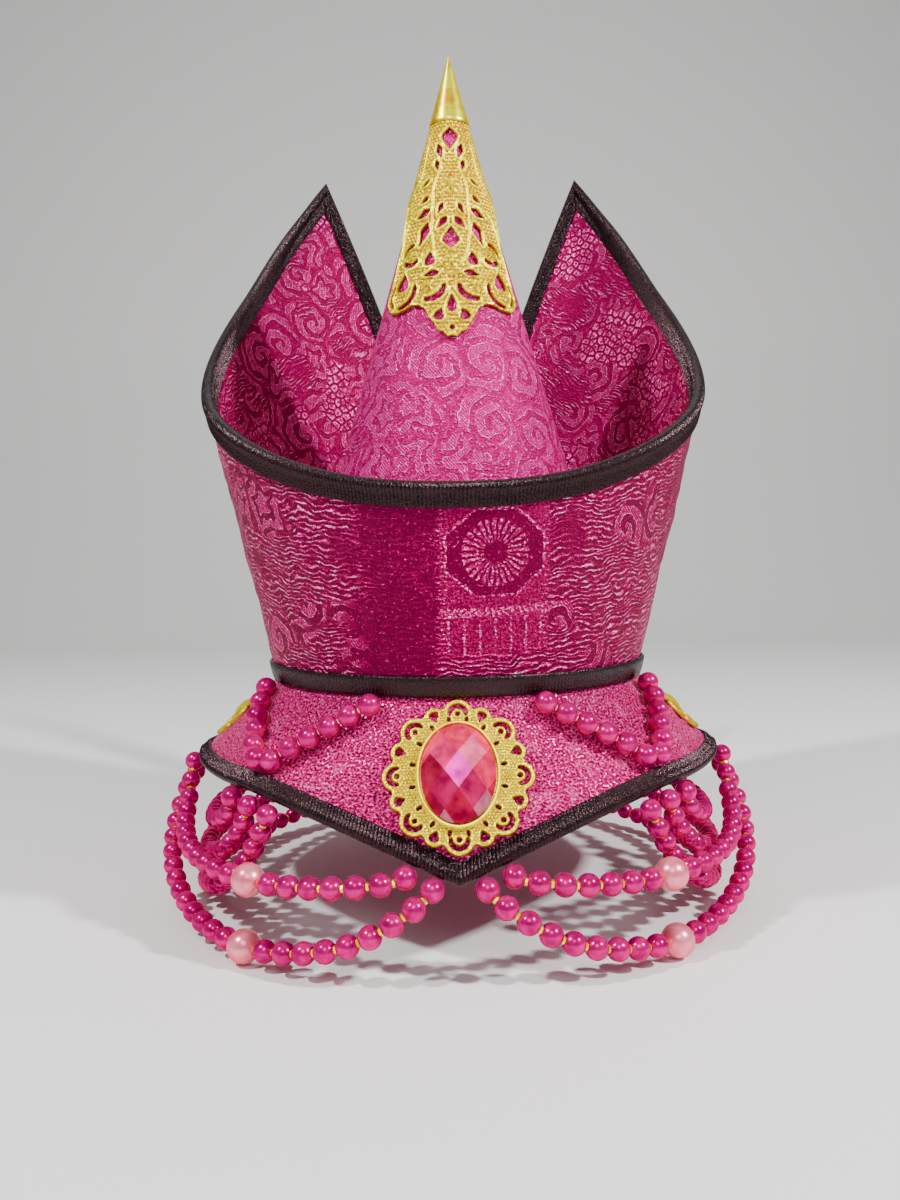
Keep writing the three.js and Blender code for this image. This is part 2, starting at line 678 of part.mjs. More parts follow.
function makeBrooch() {
  const lift = (height) => GAP + BROOCH.lowerLift * height / BROOCH.blankBottom;
  const at = skirtFrame(0, BROOCH.height, lift);
  const heights = [BROOCH.bigLobe, BROOCH.smallLobe];
  const outline = lobedOutline(BROOCH.halfWidth, BROOCH.halfTall, heights, BROOCH.lobes);
  const pocketWidth = BROOCH.stoneWidth / 2 + GAP;
  const pocketTall = BROOCH.stoneTall / 2 + GAP;
  const trayWidth = pocketWidth + BROOCH.trayWall;
  const trayTall = pocketTall + BROOCH.trayWall;
  const openings = range(BROOCH.lobes).flatMap((lobe) => {
    const rows = lobe % 2 === 0 ? BIG_LOBE_OPENINGS : SMALL_LOBE_OPENINGS;
    return rows.map((row) => onSpoke(
      opening(row.shape, row.width, row.tall, row.tilt),
      lobe * 2 * Math.PI / BROOCH.lobes,
      BROOCH.halfWidth + heights[lobe % 2] - row.inset,
      BROOCH.halfTall + heights[lobe % 2] - row.inset,
    ));
  });
  const pierced = lace(skirtBlank(0, BROOCH, lift), outline, openings, at);
  const block = prism(oval(trayWidth, trayTall, BROOCH.traySides), at, -BROOCH.traySunk, BROOCH.trayHeight);
  const pocket = prism(oval(pocketWidth, pocketTall, BROOCH.traySides), at, SHEET, BROOCH.trayHeight + SHEET);
  const tray = wasm.Manifold.difference([block, pocket]);
  add('brooch_filigree', toGeometry(wasm.Manifold.union([pierced, tray])), GILT);

  const rings = STONE_ROWS.map((row) => range(STONE_FACETS).map((step) => {
    const angle = (step + row.turn) * 2 * Math.PI / STONE_FACETS;
    const x = row.share * BROOCH.stoneWidth / 2 * Math.sin(angle);
    const y = row.share * BROOCH.stoneTall / 2 * Math.cos(angle);
    return at(x, y, BROOCH.trayHeight + row.above);
  }));
  add('brooch_stone', loft(rings, false), STONE);
}

function makeRosettes() {
  const lift = () => GAP;
  const outline = lobedOutline(ROSETTE.radius, ROSETTE.radius, [ROSETTE.lobe], ROSETTE.lobes);
  const petal = opening('drop', ROSETTE.petalWidth, ROSETTE.petalTall, 180);
  const spoke = ROSETTE.radius * ROSETTE.petalShare;
  const petals = range(ROSETTE.lobes).map((lobe) => (
    onSpoke(petal, lobe * 2 * Math.PI / ROSETTE.lobes, spoke, spoke)
  ));
  const bossOutline = oval(ROSETTE.bossWidth / 2, ROSETTE.bossWidth / 2, ROSETTE.bossSides);
  for (const [side, middle] of [['right', 90], ['left', 270]]) {
    const at = skirtFrame(middle, ROSETTE.height, lift);
    const pierced = lace(skirtBlank(middle, ROSETTE, lift), outline, petals, at);
    const boss = prism(bossOutline, at, SHEET / 2, ROSETTE.bossHeight);
    add(`side_filigree_${side}`, toGeometry(wasm.Manifold.union([pierced, boss])), GILT);
  }
}

// Mirror of a right-hand path for the left side
function mirror(points) {
  return points.map((point) => new THREE.Vector3(-point.x, point.y, point.z));
}

// How steeply the skirt's edge falls at an azimuth, in mm per mm along it
function edgeSlope(azimuth) {
  const here = skirtEdge(azimuth);
  const there = skirtEdge(azimuth + 1);
  return Math.abs(there.height - here.height) / (radians(1) * here.radius);
}

// Path of a hanging string: out of the binding at both ends, and along its rows between them.
// A wide end stands farther off where the edge is steep, so that it stays clear of the binding.
function hangingPath(string, endRadius) {
  const reach = 5;
  const spread = 1.2 * endRadius;
  const leave = (azimuth, beyond) => {
    const clear = BINDING_LIP + 2 * GAP + spread * edgeSlope(azimuth);
    return skirtPoint(azimuth, skirtEdge(azimuth).height, -CLOTH / 2, clear + beyond);
  };
  return [
    leave(string.from, 0),
    leave(string.from, reach),
    ...string.rows.map((row) => place(row.azimuth, row.radius, row.height)),
    leave(string.to, reach),
    leave(string.to, 0),
  ];
}

// Radii along a string: two swells to a bead and the bare thread between beads. A path that is
// longer than its beads goes on as a plain round body.
function stringStations(length, diameters, spacing) {
  const swellAt = 0.26;
  const swellRadius = 0.465;
  const stations = [{ at: 0, radius: THREAD_RADIUS }];
  let start = 0;
  for (const diameter of diameters) {
    const middle = start + (spacing + diameter) / 2;
    stations.push({ at: middle - swellAt * diameter, radius: swellRadius * diameter });
    stations.push({ at: middle + swellAt * diameter, radius: swellRadius * diameter });
    start += spacing + diameter;
    stations.push({ at: start, radius: THREAD_RADIUS });
  }
  const plain = length - start - 2 * spacing;
  if (plain > STRING_DIAMETER) {
    const steps = Math.round(plain / (STEP_IN_DIAMETERS * STRING_DIAMETER));
    for (const step of range(steps + 1)) {
      stations.push({ at: start + spacing + plain * step / steps, radius: STRING_DIAMETER / 2 });
    }
    stations.push({ at: length, radius: THREAD_RADIUS });
  }
  return stations;
}

// A string of beads as one body along a path; without a spacing its beads fill the path
function makeBeadString(name, points, diameters, spacing) {
  const curve = new THREE.CatmullRomCurve3(points, false, 'centripetal');
  const length = curve.getLength();
  const total = diameters.reduce((sum, diameter) => sum + diameter, 0);
  const fill = (length - total) / diameters.length;
  let side = new THREE.Vector3(0, 0, 1);
  const rings = stringStations(length, diameters, spacing ?? fill).map((station) => {
    const share = Math.min(station.at / length, 1);
    const centre = curve.getPointAt(share);
    const along = curve.getTangentAt(share);
    side = side.clone().addScaledVector(along, -side.dot(along)).normalize();
    const other = along.clone().cross(side);
    return range(BEAD_SIDES).map((step) => {
      const angle = step * 2 * Math.PI / BEAD_SIDES;
      return centre.clone()
        .addScaledVector(side, station.radius * Math.cos(angle))
        .addScaledVector(other, station.radius * Math.sin(angle));
    });
  });
  add(name, loft(rings, false), BEAD);
}

// The plain round body of a string whose single beads are too fine for this model
function makeStringTube(name, points) {
  const curve = new THREE.CatmullRomCurve3(points, false, 'centripetal');
  const section = new THREE.Shape(oval(STRING_DIAMETER / 2, STRING_DIAMETER / 2, TUBE_SIDES));
  const steps = Math.round(curve.getLength() / (STEP_IN_DIAMETERS * STRING_DIAMETER));
  add(name, new THREE.ExtrudeGeometry(section, { steps, extrudePath: curve, bevelEnabled: false }), BEAD);
}

function makeStrings() {
  const onSkirt = BEAD_DIAMETER / 2 + GAP;
  const upper = UPPER_STRING.map((row) => skirtPoint(row.azimuth, row.height, onSkirt + row.lift));
  const fronts = [['front_string_upper', FRONT_UPPER], ['front_string_lower', FRONT_LOWER]];
  const tubes = [
    ['back_string_lower', BACK_LOWER],
    ['back_string_upper', BACK_UPPER],
    ['side_string', SIDE_SHORT],
  ];
  for (const [side, turned] of [['right', (points) => points], ['left', mirror]]) {
    makeBeadString(`upper_string_${side}`, turned(upper), Array(UPPER_BEADS).fill(BEAD_DIAMETER));
    for (const [name, string] of fronts) {
      const diameters = [
        ...Array(string.before).fill(BEAD_DIAMETER),
        PEARL_DIAMETER,
        ...Array(string.after).fill(BEAD_DIAMETER),
      ];
      const path = turned(hangingPath(string, THREAD_RADIUS));
      makeBeadString(`${name}_${side}`, path, diameters, BEAD_SPACING);
    }
    for (const [name, string] of tubes) {
      makeStringTube(`${name}_${side}`, turned(hangingPath(string, STRING_DIAMETER / 2)));
    }
  }
}

makeCone();
makeConeFiligree();
makeBrim();
makeBand();
makeSkirt();
makeBindings();
makeBrooch();
makeRosettes();
makeStrings();

export default hat;
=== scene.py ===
# %% [markdown]
# # A wedding hat in pink brocade
# A cone of stiff brocade stands inside an upturned brim, over a pointed skirt with gilt lace, an oval
# stone and strings of round beads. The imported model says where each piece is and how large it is.
# This script loads it as a fixed frame and replaces each plain solid by a finished surface in its place.

# %% Load the frame
import math

import bmesh
import bpy
import numpy as np
from mathutils import Matrix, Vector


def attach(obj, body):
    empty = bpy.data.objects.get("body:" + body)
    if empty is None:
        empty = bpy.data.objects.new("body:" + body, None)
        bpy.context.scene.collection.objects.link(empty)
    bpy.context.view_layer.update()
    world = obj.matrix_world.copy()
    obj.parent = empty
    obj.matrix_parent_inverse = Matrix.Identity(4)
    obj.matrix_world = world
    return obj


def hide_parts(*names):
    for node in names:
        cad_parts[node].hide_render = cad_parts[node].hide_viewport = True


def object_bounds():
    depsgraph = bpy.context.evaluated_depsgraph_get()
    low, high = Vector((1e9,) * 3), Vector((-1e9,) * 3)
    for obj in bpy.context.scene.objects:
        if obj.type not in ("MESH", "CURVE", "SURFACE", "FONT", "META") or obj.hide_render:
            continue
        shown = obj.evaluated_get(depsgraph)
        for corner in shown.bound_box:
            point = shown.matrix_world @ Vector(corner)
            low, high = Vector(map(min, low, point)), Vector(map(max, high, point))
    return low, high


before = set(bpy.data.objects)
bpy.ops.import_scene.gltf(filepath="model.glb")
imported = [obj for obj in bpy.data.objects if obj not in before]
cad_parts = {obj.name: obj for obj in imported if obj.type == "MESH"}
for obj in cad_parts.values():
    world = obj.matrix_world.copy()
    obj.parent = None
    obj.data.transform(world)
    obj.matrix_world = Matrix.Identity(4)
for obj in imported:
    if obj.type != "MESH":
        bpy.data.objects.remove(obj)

MM = 0.001
cad_low, cad_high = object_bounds()
cad_size = [round((high - low) / MM, 1) for low, high in zip(cad_low, cad_high)]
print("solids:", len(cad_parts), "box in mm:", cad_size)

# %% [markdown]
# ## Camera
# The photograph was taken from close by, a little above the waist and looking very slightly down.
# A lens of 30 mm on a 36 mm sensor gives the same strong perspective between front and back.

# %% Camera
PHOTO_HEIGHT = 1200
AXIS_RIGHT_OF_MIDDLE = 6
SENSOR_WIDTH, FOCAL_LENGTH = 36, 30
CAMERA_PLACE = (0, -0.496, 0.0616)
LOOK_DOWN = 3.03
ROLL = -0.8

camera_data = bpy.data.cameras.new("photo_camera")
camera_data.sensor_width = SENSOR_WIDTH
camera_data.lens = FOCAL_LENGTH
camera_data.shift_x = -AXIS_RIGHT_OF_MIDDLE / PHOTO_HEIGHT
camera = bpy.data.objects.new("photo_camera", camera_data)
tilt = Matrix.Rotation(math.radians(90 - LOOK_DOWN), 4, "X")
camera.matrix_world = Matrix.Translation(CAMERA_PLACE) @ tilt @ Matrix.Rotation(math.radians(ROLL), 4, "Z")
bpy.context.scene.collection.objects.link(camera)
bpy.context.scene.camera = camera
print("camera at", CAMERA_PLACE, "m")

# %% [markdown]
# ## Surfaces from arrays
# Every shape here is a grid of points worked out as one array. A closed direction joins its last line to
# its first, and a pole is one point with a fan of triangles. The helper turns faces outwards by the sign
# of the volume that they enclose, and hands the finished mesh to the frame.

# %% Grid helpers
def cells(grid):
    """The four corner values of every cell of an open grid, in turn."""
    return np.stack([grid[:-1, :-1], grid[:-1, 1:], grid[1:, 1:], grid[1:, :-1]], axis=2).reshape(
        -1, 4, *grid.shape[2:]
    )


def grid_faces(rows, columns, close_rows=False, close_columns=False):
    """Quads between neighbouring points of a grid that is stored row by row."""
    index = np.arange(rows * columns).reshape(rows, columns)
    if close_rows:
        index = np.vstack([index, index[:1]])
    if close_columns:
        index = np.hstack([index, index[:, :1]])
    return cells(index)


def pole_faces(rows, columns):
    """Quads of a grid that is closed sideways, and fans to two poles stored after it."""
    ring = np.arange(columns)
    beside = np.roll(ring, -1)
    top = (rows - 1) * columns
    first = np.stack([beside, ring, np.full(columns, rows * columns)], axis=1)
    last = np.stack([top + ring, top + beside, np.full(columns, rows * columns + 1)], axis=1)
    return [grid_faces(rows, columns, close_columns=True), first, last]


# %% Piece helper
SHARP_ANGLE = math.radians(42)


def enclosed_volume(points, faces):
    """Six times the volume inside the faces: the sum over fans of a . (b x c)."""
    corners = points[faces]
    fans = [(corners[:, 0], corners[:, k], corners[:, k + 1]) for k in range(1, faces.shape[1] - 1)]
    return sum(np.einsum("ij,ij->", a, np.cross(b, c)) for a, b, c in fans)


def make_piece(name, points, faces, slot, materials, nodes=(), uv=None, face_materials=None, smooth=True):
    """A mesh piece from points in mm, several arrays of faces and corner UVs, on the hat's one body."""
    if sum(enclosed_volume(points, part) for part in faces) < 0:
        faces = [part[:, ::-1] for part in faces]
        uv = None if uv is None else [part[:, ::-1] for part in uv]
    mesh = bpy.data.meshes.new(name)
    mesh.from_pydata((points * MM).tolist(), [], [face for part in faces for face in part.tolist()])
    if uv is not None:
        layer = mesh.uv_layers.new(name="cloth")
        layer.uv.foreach_set("vector", np.concatenate([part.reshape(-1, 2) for part in uv]).ravel())
    for material in materials:
        mesh.materials.append(material)
    if face_materials is not None:
        mesh.polygons.foreach_set("material_index", np.concatenate(face_materials))
    mesh.polygons.foreach_set("use_smooth", np.full(len(mesh.polygons), smooth))
    if smooth:
        mesh.set_sharp_from_angle(angle=SHARP_ANGLE)
    piece = bpy.data.objects.new(name, mesh)
    bpy.context.scene.collection.objects.link(piece)
    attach(piece, "root")
    if nodes:
        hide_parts(*nodes)
    print(name, len(mesh.vertices), "points,", len(mesh.polygons), "faces")
    return piece


# %% [markdown]
# ## Finishes
# One function adds a node with its settings and links, so a material reads as a list of what feeds what.
# Colours are sRGB hex values, turned to the linear values that shaders count in.

# %% Material helpers
def linear(hex_colour):
    """Linear RGBA of an sRGB hex colour: c / 12.92 when dark, otherwise ((c + 0.055) / 1.055) ^ 2.4."""
    channels = np.array([int(hex_colour[at:at + 2], 16) / 255 for at in (1, 3, 5)])
    light = np.where(channels <= 0.04045, channels / 12.92, ((channels + 0.055) / 1.055) ** 2.4)
    return (*light.tolist(), 1.0)


def add_node(tree, kind, sockets=(), out=0, **settings):
    """Adds a node, sets its properties, fills its sockets by name or in order, and gives one output."""
    node = tree.nodes.new("ShaderNode" + kind)
    for name, value in settings.items():
        setattr(node, name, value)
    for key, value in sockets.items() if isinstance(sockets, dict) else enumerate(sockets):
        if isinstance(value, bpy.types.NodeSocket):
            tree.links.new(value, node.inputs[key])
        else:
            node.inputs[key].default_value = value
    return node.outputs[out] if node.outputs else None


# %% Node helpers
def maths(tree, operation, *values):
    """One sum on sockets and numbers, such as MULTIPLY_ADD: the first times the second, plus the third."""
    return add_node(tree, "Math", values, operation=operation)


def vectors(tree, operation, *values):
    """One sum on vectors."""
    return add_node(tree, "VectorMath", values, operation=operation)


def axis_of(tree, vector, axis):
    """One coordinate of a vector."""
    return add_node(tree, "SeparateXYZ", [vector], out=axis)


def wave(tree, value, factor, kind="SINE"):
    """Sine, or cosine, of a value times a factor."""
    return maths(tree, kind, maths(tree, "MULTIPLY", value, factor))


def ramp(tree, value, start, end, low=0, high=1):
    """A straight rise from low at start to high at end, level outside them."""
    ends = {"From Min": start, "From Max": end, "To Min": low, "To Max": high}
    return add_node(tree, "MapRange", {"Value": value, **ends})


def noise(tree, spot, size, detail, roughness=0.5, out=0):
    """Cloudy noise whose clouds have a size in the spot's own units."""
    settings = {"Vector": spot, "Scale": 1 / size, "Detail": detail, "Roughness": roughness}
    return add_node(tree, "TexNoise", settings, out)


def blend(tree, share, low, high):
    """A colour between two others, by share."""
    return add_node(tree, "Mix", {0: share, 6: low, 7: high}, out=2, data_type="RGBA")


def crossfade(tree, share, low, high):
    """A height between two others, by share."""
    return add_node(tree, "Mix", {0: share, 2: low, 3: high}, data_type="FLOAT")


# %% Material ends
def new_material(name):
    """An empty material and its node tree."""
    material = bpy.data.materials.new(name)
    material.use_nodes = True
    material.node_tree.nodes.clear()
    return material, material.node_tree


def shade(tree, sockets):
    """Ends a material: one surface shader and the output."""
    add_node(tree, "OutputMaterial", {"Surface": add_node(tree, "BsdfPrincipled", sockets)})


# %% [markdown]
# ## Brocade
# The real cloth is a jacquard of silky rayon: raised figures in thick weft stand on a dark satin ground.
# Some patches are puckered like wood grain, some hold scrolls and flowers, and some lie bare. The figures
# are drawn in the flat cloth's own millimetres, which each wall keeps as its UV map, so that the pattern
# runs as on a cut sheet. Raised thread is glossier and paler, and the satin between is darker; the palest
# tones on the crests of the thread are painted highlight and glints.

# %% Grain and cobbles
TURN = 2 * math.pi
GRAIN_PITCH = 2.2
GRAIN_BEND = 8
GRAIN_BEND_SIZE = 19
STROKES_PER_MM = (0.2, 0.65, 1)
COBBLE = 4.4


def grain_height(tree, cloth):
    """Puckered grain: sine ridges along the weft, bent by noise so that they close into eyes."""
    bend = noise(tree, cloth, GRAIN_BEND_SIZE, 4)
    along = axis_of(tree, cloth, "Y")
    rows = maths(tree, "MULTIPLY", along, TURN / GRAIN_PITCH)
    phase = maths(tree, "MULTIPLY_ADD", bend, GRAIN_BEND * TURN, rows)
    ridge = maths(tree, "SINE", phase)
    stretched = vectors(tree, "MULTIPLY", cloth, STROKES_PER_MM)
    broken = noise(tree, stretched, 1, 2)
    strokes = ramp(tree, broken, 0.36, 0.6, 0.15, 1.1)
    lifted = ramp(tree, ridge, -0.35, 0.85)
    return maths(tree, "MULTIPLY", lifted, strokes)


def cobble_height(tree, cloth):
    """Cobbles: rounded cells with sunk joints, as where small blossoms are woven side by side."""
    settings = {"Vector": cloth, "Scale": 1 / COBBLE, "Randomness": 0.85}
    joint = add_node(tree, "TexVoronoi", settings, voronoi_dimensions="2D", feature="DISTANCE_TO_EDGE")
    middle = add_node(tree, "TexVoronoi", settings, voronoi_dimensions="2D")
    dome = ramp(tree, joint, 0.05, 0.2)
    pit = ramp(tree, middle, 0.1, 0.25, 0.3, 0.75)
    return maths(tree, "MULTIPLY", dome, pit)


# %% Scrolls and flowers
HALF = (0.5, 0.5, 0.5)
SCROLL_CELL = 27
SCROLL_PITCH = 8
SCROLL_WARP = (9, 9, 0)
SCROLL_WARP_SIZE = 11
PETALS = 5
PETAL_SWELL = 0.24
TWILL = 1.4
TWILL_SLOPE = 0.8
THREAD_BREAK = 2.2


def scroll_height(tree, cloth):
    """Scrolls and flowers: each cell holds a spiral, or rings with five petals, round its own middle.

    The sine of the rings is positive in a figure. Its zero line is the raised outline, and twill hatches
    the figure itself. Threads that come and go break both, as in the weave.
    """
    warp = noise(tree, cloth, SCROLL_WARP_SIZE, 2, out="Color")
    centred = vectors(tree, "SUBTRACT", warp, HALF)
    pushed = vectors(tree, "MULTIPLY_ADD", centred, SCROLL_WARP, cloth)
    spot = vectors(tree, "MULTIPLY", pushed, (1 / SCROLL_CELL,) * 3)
    settings = {"Vector": spot, "Scale": 1, "Randomness": 0.9}
    middle = add_node(tree, "TexVoronoi", settings, out="Position", voronoi_dimensions="2D")
    chance = add_node(tree, "TexVoronoi", settings, out="Color", voronoi_dimensions="2D")
    border = add_node(tree, "TexVoronoi", settings, voronoi_dimensions="2D", feature="DISTANCE_TO_EDGE")
    arm = vectors(tree, "SUBTRACT", spot, middle)
    across = axis_of(tree, arm, "X")
    upward = axis_of(tree, arm, "Y")
    angle = maths(tree, "ARCTAN2", upward, across)
    reach = add_node(tree, "VectorMath", [arm], out="Value", operation="LENGTH")
    rings = maths(tree, "MULTIPLY", reach, TURN * SCROLL_CELL / SCROLL_PITCH)
    hand = add_node(tree, "SeparateColor", [chance], out="Red")
    side = maths(tree, "GREATER_THAN", hand, 0.5)
    turned = maths(tree, "MULTIPLY_ADD", side, 2, -1)
    spiral = maths(tree, "MULTIPLY_ADD", angle, turned, rings)
    petals = wave(tree, angle, PETALS, "COSINE")
    swell = maths(tree, "MULTIPLY_ADD", petals, PETAL_SWELL, 1)
    flower = maths(tree, "MULTIPLY", rings, swell)
    kind = add_node(tree, "SeparateColor", [chance], out="Green")
    is_flower = maths(tree, "GREATER_THAN", kind, 0.5)
    phase = crossfade(tree, is_flower, spiral, flower)
    ring = maths(tree, "SINE", phase)
    figure = ramp(tree, ring, -0.05, 0.1)
    off_line = maths(tree, "ABSOLUTE", ring)
    outline = ramp(tree, off_line, 0.4, 0.1)
    diagonal = (TURN / TWILL, TWILL_SLOPE * TURN / TWILL, 0)
    slant = add_node(tree, "VectorMath", [cloth, diagonal], out="Value", operation="DOT_PRODUCT")
    twill = maths(tree, "SINE", slant)
    hatch = ramp(tree, twill, -1, 1, 0.3, 0.75)
    hatched = maths(tree, "MULTIPLY", figure, hatch)
    drawn = maths(tree, "MAXIMUM", outline, hatched)
    within = ramp(tree, border, 0.03, 0.06, low=0.3)
    kept = maths(tree, "MULTIPLY", drawn, within)
    loose = noise(tree, cloth, THREAD_BREAK, 2)
    thread = ramp(tree, loose, 0.34, 0.56, low=0.55)
    return maths(tree, "MULTIPLY", kept, thread)


# %% Front medallion
MEDALLION_STEP = 165
MEDALLION_RISE = 130
MEDALLION_AT = (16, 60.5)
WHEEL_RADIUS = 14.2
HUB_RADIUS = 4.3
WHEEL_RIBS = 28
OCTAGON_HALF = 17.6
OCTAGON_SQUEEZE = 0.88
BAR_AT = 21
TICK_PITCH = 1.9
RIBS_AT = 24.5
PANES_BELOW = 27
PANE_WIDTH = 6.4
PANEL_HALF = 23
PANEL_LOW, PANEL_TOP = -45, 27
SATIN_LEFT, SATIN_RIGHT = -60, -22
SHAKE = (2.2, 2.2, 0)
SHAKE_SIZE = 3
SPECKLE_SIZE = 1.3
TEAR = 60
TEAR_SIZE = 17
TEAR_START, TEAR_END = 26, 38


def medallion_height(tree, cloth):
    """A ribbed wheel on a satin octagon, framed by ticked bars and double ribs, with panes below.

    Gives the panel's height, how far a place lies in the panel, and how far in the bare satin beside it.
    """
    shake = noise(tree, cloth, SHAKE_SIZE, 2, out="Color")
    centred = vectors(tree, "SUBTRACT", shake, HALF)
    moved = vectors(tree, "SUBTRACT", cloth, (*MEDALLION_AT, 0))
    spot = vectors(tree, "MULTIPLY_ADD", centred, SHAKE, moved)
    across = axis_of(tree, spot, "X")
    upward = axis_of(tree, spot, "Y")
    across = maths(tree, "WRAP", across, MEDALLION_STEP / 2, -MEDALLION_STEP / 2)
    upward = maths(tree, "WRAP", upward, MEDALLION_RISE / 2, -MEDALLION_RISE / 2)
    flat = add_node(tree, "CombineXYZ", [across, upward, 0])
    grit = noise(tree, cloth, SPECKLE_SIZE, 1)
    speckle = ramp(tree, grit, 0.42, 0.6)

    reach = add_node(tree, "VectorMath", [flat], out="Value", operation="LENGTH")
    angle = maths(tree, "ARCTAN2", upward, across)
    rib = ramp(tree, wave(tree, angle, WHEEL_RIBS), -0.9, 0.3)
    past_hub = ramp(tree, reach, HUB_RADIUS, HUB_RADIUS + 1)
    in_rim = ramp(tree, reach, WHEEL_RADIUS, WHEEL_RADIUS - 0.8)
    on_wheel = maths(tree, "MULTIPLY", past_hub, in_rim)
    broken = maths(tree, "MULTIPLY_ADD", speckle, 0.6, 0.3)
    ragged = maths(tree, "MULTIPLY", rib, broken)
    height = maths(tree, "MULTIPLY", ragged, on_wheel)

    sideways = maths(tree, "ABSOLUTE", across)
    level = maths(tree, "ABSOLUTE", upward)
    narrow = maths(tree, "MULTIPLY", sideways, OCTAGON_SQUEEZE)
    both = maths(tree, "ADD", narrow, level)
    corner = maths(tree, "MULTIPLY", both, math.sqrt(0.5))
    square = maths(tree, "MAXIMUM", narrow, level)
    octagon = maths(tree, "MAXIMUM", square, corner)
    edge = maths(tree, "COMPARE", octagon, OCTAGON_HALF, 0.45)
    past_edge = maths(tree, "GREATER_THAN", octagon, OCTAGON_HALF)
    tick = wave(tree, upward, TURN / TICK_PITCH)
    on_bar = maths(tree, "COMPARE", sideways, BAR_AT, 1.5)
    bar = maths(tree, "MULTIPLY", tick, on_bar)
    double = wave(tree, level, TURN / TICK_PITCH)
    on_ribs = maths(tree, "COMPARE", level, RIBS_AT, TICK_PITCH)
    rib_pair = maths(tree, "MULTIPLY", double, on_ribs)
    pane_line = ramp(tree, wave(tree, across, TURN / PANE_WIDTH, "COSINE"), 0.6, 0.95)
    below = maths(tree, "LESS_THAN", upward, -PANES_BELOW)
    pane_bar = maths(tree, "MULTIPLY", pane_line, below)
    between = maths(tree, "MULTIPLY", on_ribs, 0.5)
    lines = maths(tree, "MULTIPLY_ADD", past_edge, 0.42, between)
    for line in (edge, bar, rib_pair, pane_bar):
        lines = maths(tree, "MAXIMUM", lines, line)
    dotted = maths(tree, "MULTIPLY", lines, broken)
    height = maths(tree, "ADD", height, dotted)

    wide = ramp(tree, sideways, PANEL_HALF, PANEL_HALF - 1)
    low = ramp(tree, upward, PANEL_LOW, PANEL_LOW + 4)
    top = ramp(tree, upward, PANEL_TOP, PANEL_TOP - 1)
    tall = maths(tree, "MULTIPLY", low, top)
    within = maths(tree, "MULTIPLY", wide, tall)
    torn = noise(tree, cloth, TEAR_SIZE, 4, roughness=0.6)
    ragged_edge = maths(tree, "MULTIPLY_ADD", torn, TEAR, across)
    right_of = ramp(tree, ragged_edge, SATIN_LEFT + TEAR_START, SATIN_LEFT + TEAR_END)
    left_of = ramp(tree, across, SATIN_RIGHT, SATIN_RIGHT - 3)
    satin = maths(tree, "MULTIPLY", right_of, left_of)
    return height, within, satin


# %% Brocade material
PATCH = 42
SPECK_SIZE = 1.5
# The real thread is 0.3 mm; it is drawn at 0.7 mm so that the weave still shows as a fine grain.
THREAD_SIZE = 0.7
TONE_STARTS, TONE_ENDS = (0.05, 0.35, 0.7), (0.4, 0.75, 1.1)
SILK_SHINE = 0.4
SILK_TINT = "#FF2A90"
SILK_EDGE = 0.2


def silk(tree, tone, roughness, height, depth):
    """Ends a silk cloth. Part of its shine is coloured as in metal, since light leaves it through the dye."""
    normal = add_node(tree, "Bump", {"Height": height, "Strength": 1.0, "Distance": depth})
    shade(tree, {
        "Base Color": tone, "Roughness": roughness, "Normal": normal, "Metallic": SILK_SHINE,
        "Specular IOR Level": SILK_EDGE, "Specular Tint": linear(SILK_TINT),
    })


def brocade(name, tones, bare, scrolls, cobbles=1.0, depth=0.0012, specks=0.56, medallion=False):
    """Jacquard from ground to thread. Patch noise below bare shows satin, above it each figure in turn."""
    material, tree = new_material(name)
    cloth = add_node(tree, "UVMap", out="UV", uv_map="cloth")
    patches = noise(tree, cloth, PATCH, 2)
    raised = ramp(tree, patches, bare - 0.06, bare + 0.04)
    height = grain_height(tree, cloth)
    for start, figure in ((scrolls, scroll_height), (cobbles, cobble_height)):
        shown = ramp(tree, patches, start - 0.012, start + 0.012)
        height = crossfade(tree, shown, height, figure(tree, cloth))
    height = maths(tree, "MULTIPLY", height, raised)
    if medallion:
        panel, within, beside = medallion_height(tree, cloth)
        worn = maths(tree, "MULTIPLY_ADD", beside, -0.8, 1)
        height = maths(tree, "MULTIPLY", height, worn)
        height = crossfade(tree, within, height, panel)
    grit = noise(tree, cloth, SPECK_SIZE, 1)
    speck = ramp(tree, grit, specks, specks + 0.18, high=0.6)
    height = maths(tree, "MAXIMUM", height, speck)
    thread = noise(tree, cloth, THREAD_SIZE, 1)
    tuft = ramp(tree, thread, 0.32, 0.68)
    fuzz_and_glint = maths(tree, "MULTIPLY_ADD", tuft, 1.1, 0.25)
    raised_and_highlight = maths(tree, "MULTIPLY", height, fuzz_and_glint)
    # The tones rise with the raised thread from the dark satin ground; the palest ones, on the crests and the
    # thread specks, are painted highlight and glints.
    tone = linear(tones[0])
    for colour, start, full in zip(tones[1:], TONE_STARTS, TONE_ENDS):
        share = ramp(tree, raised_and_highlight, start, full)
        tone = blend(tree, share, tone, linear(colour))
    relief = maths(tree, "MULTIPLY_ADD", tuft, 0.2, height)
    silk(tree, tone, ramp(tree, tuft, 0, 1, 0.45, 0.25), relief, depth)
    return material


# Each set runs ground, raised thread, then two paler tones up to a near-white pink that are painted highlight
# and glint.
DEEP_TONES = ("#6E0036", "#B4005E", "#FF50AE", "#FFD0EC")
INNER_TONES = ("#860042", "#C00068", "#FF60B8", "#FFCCEA")
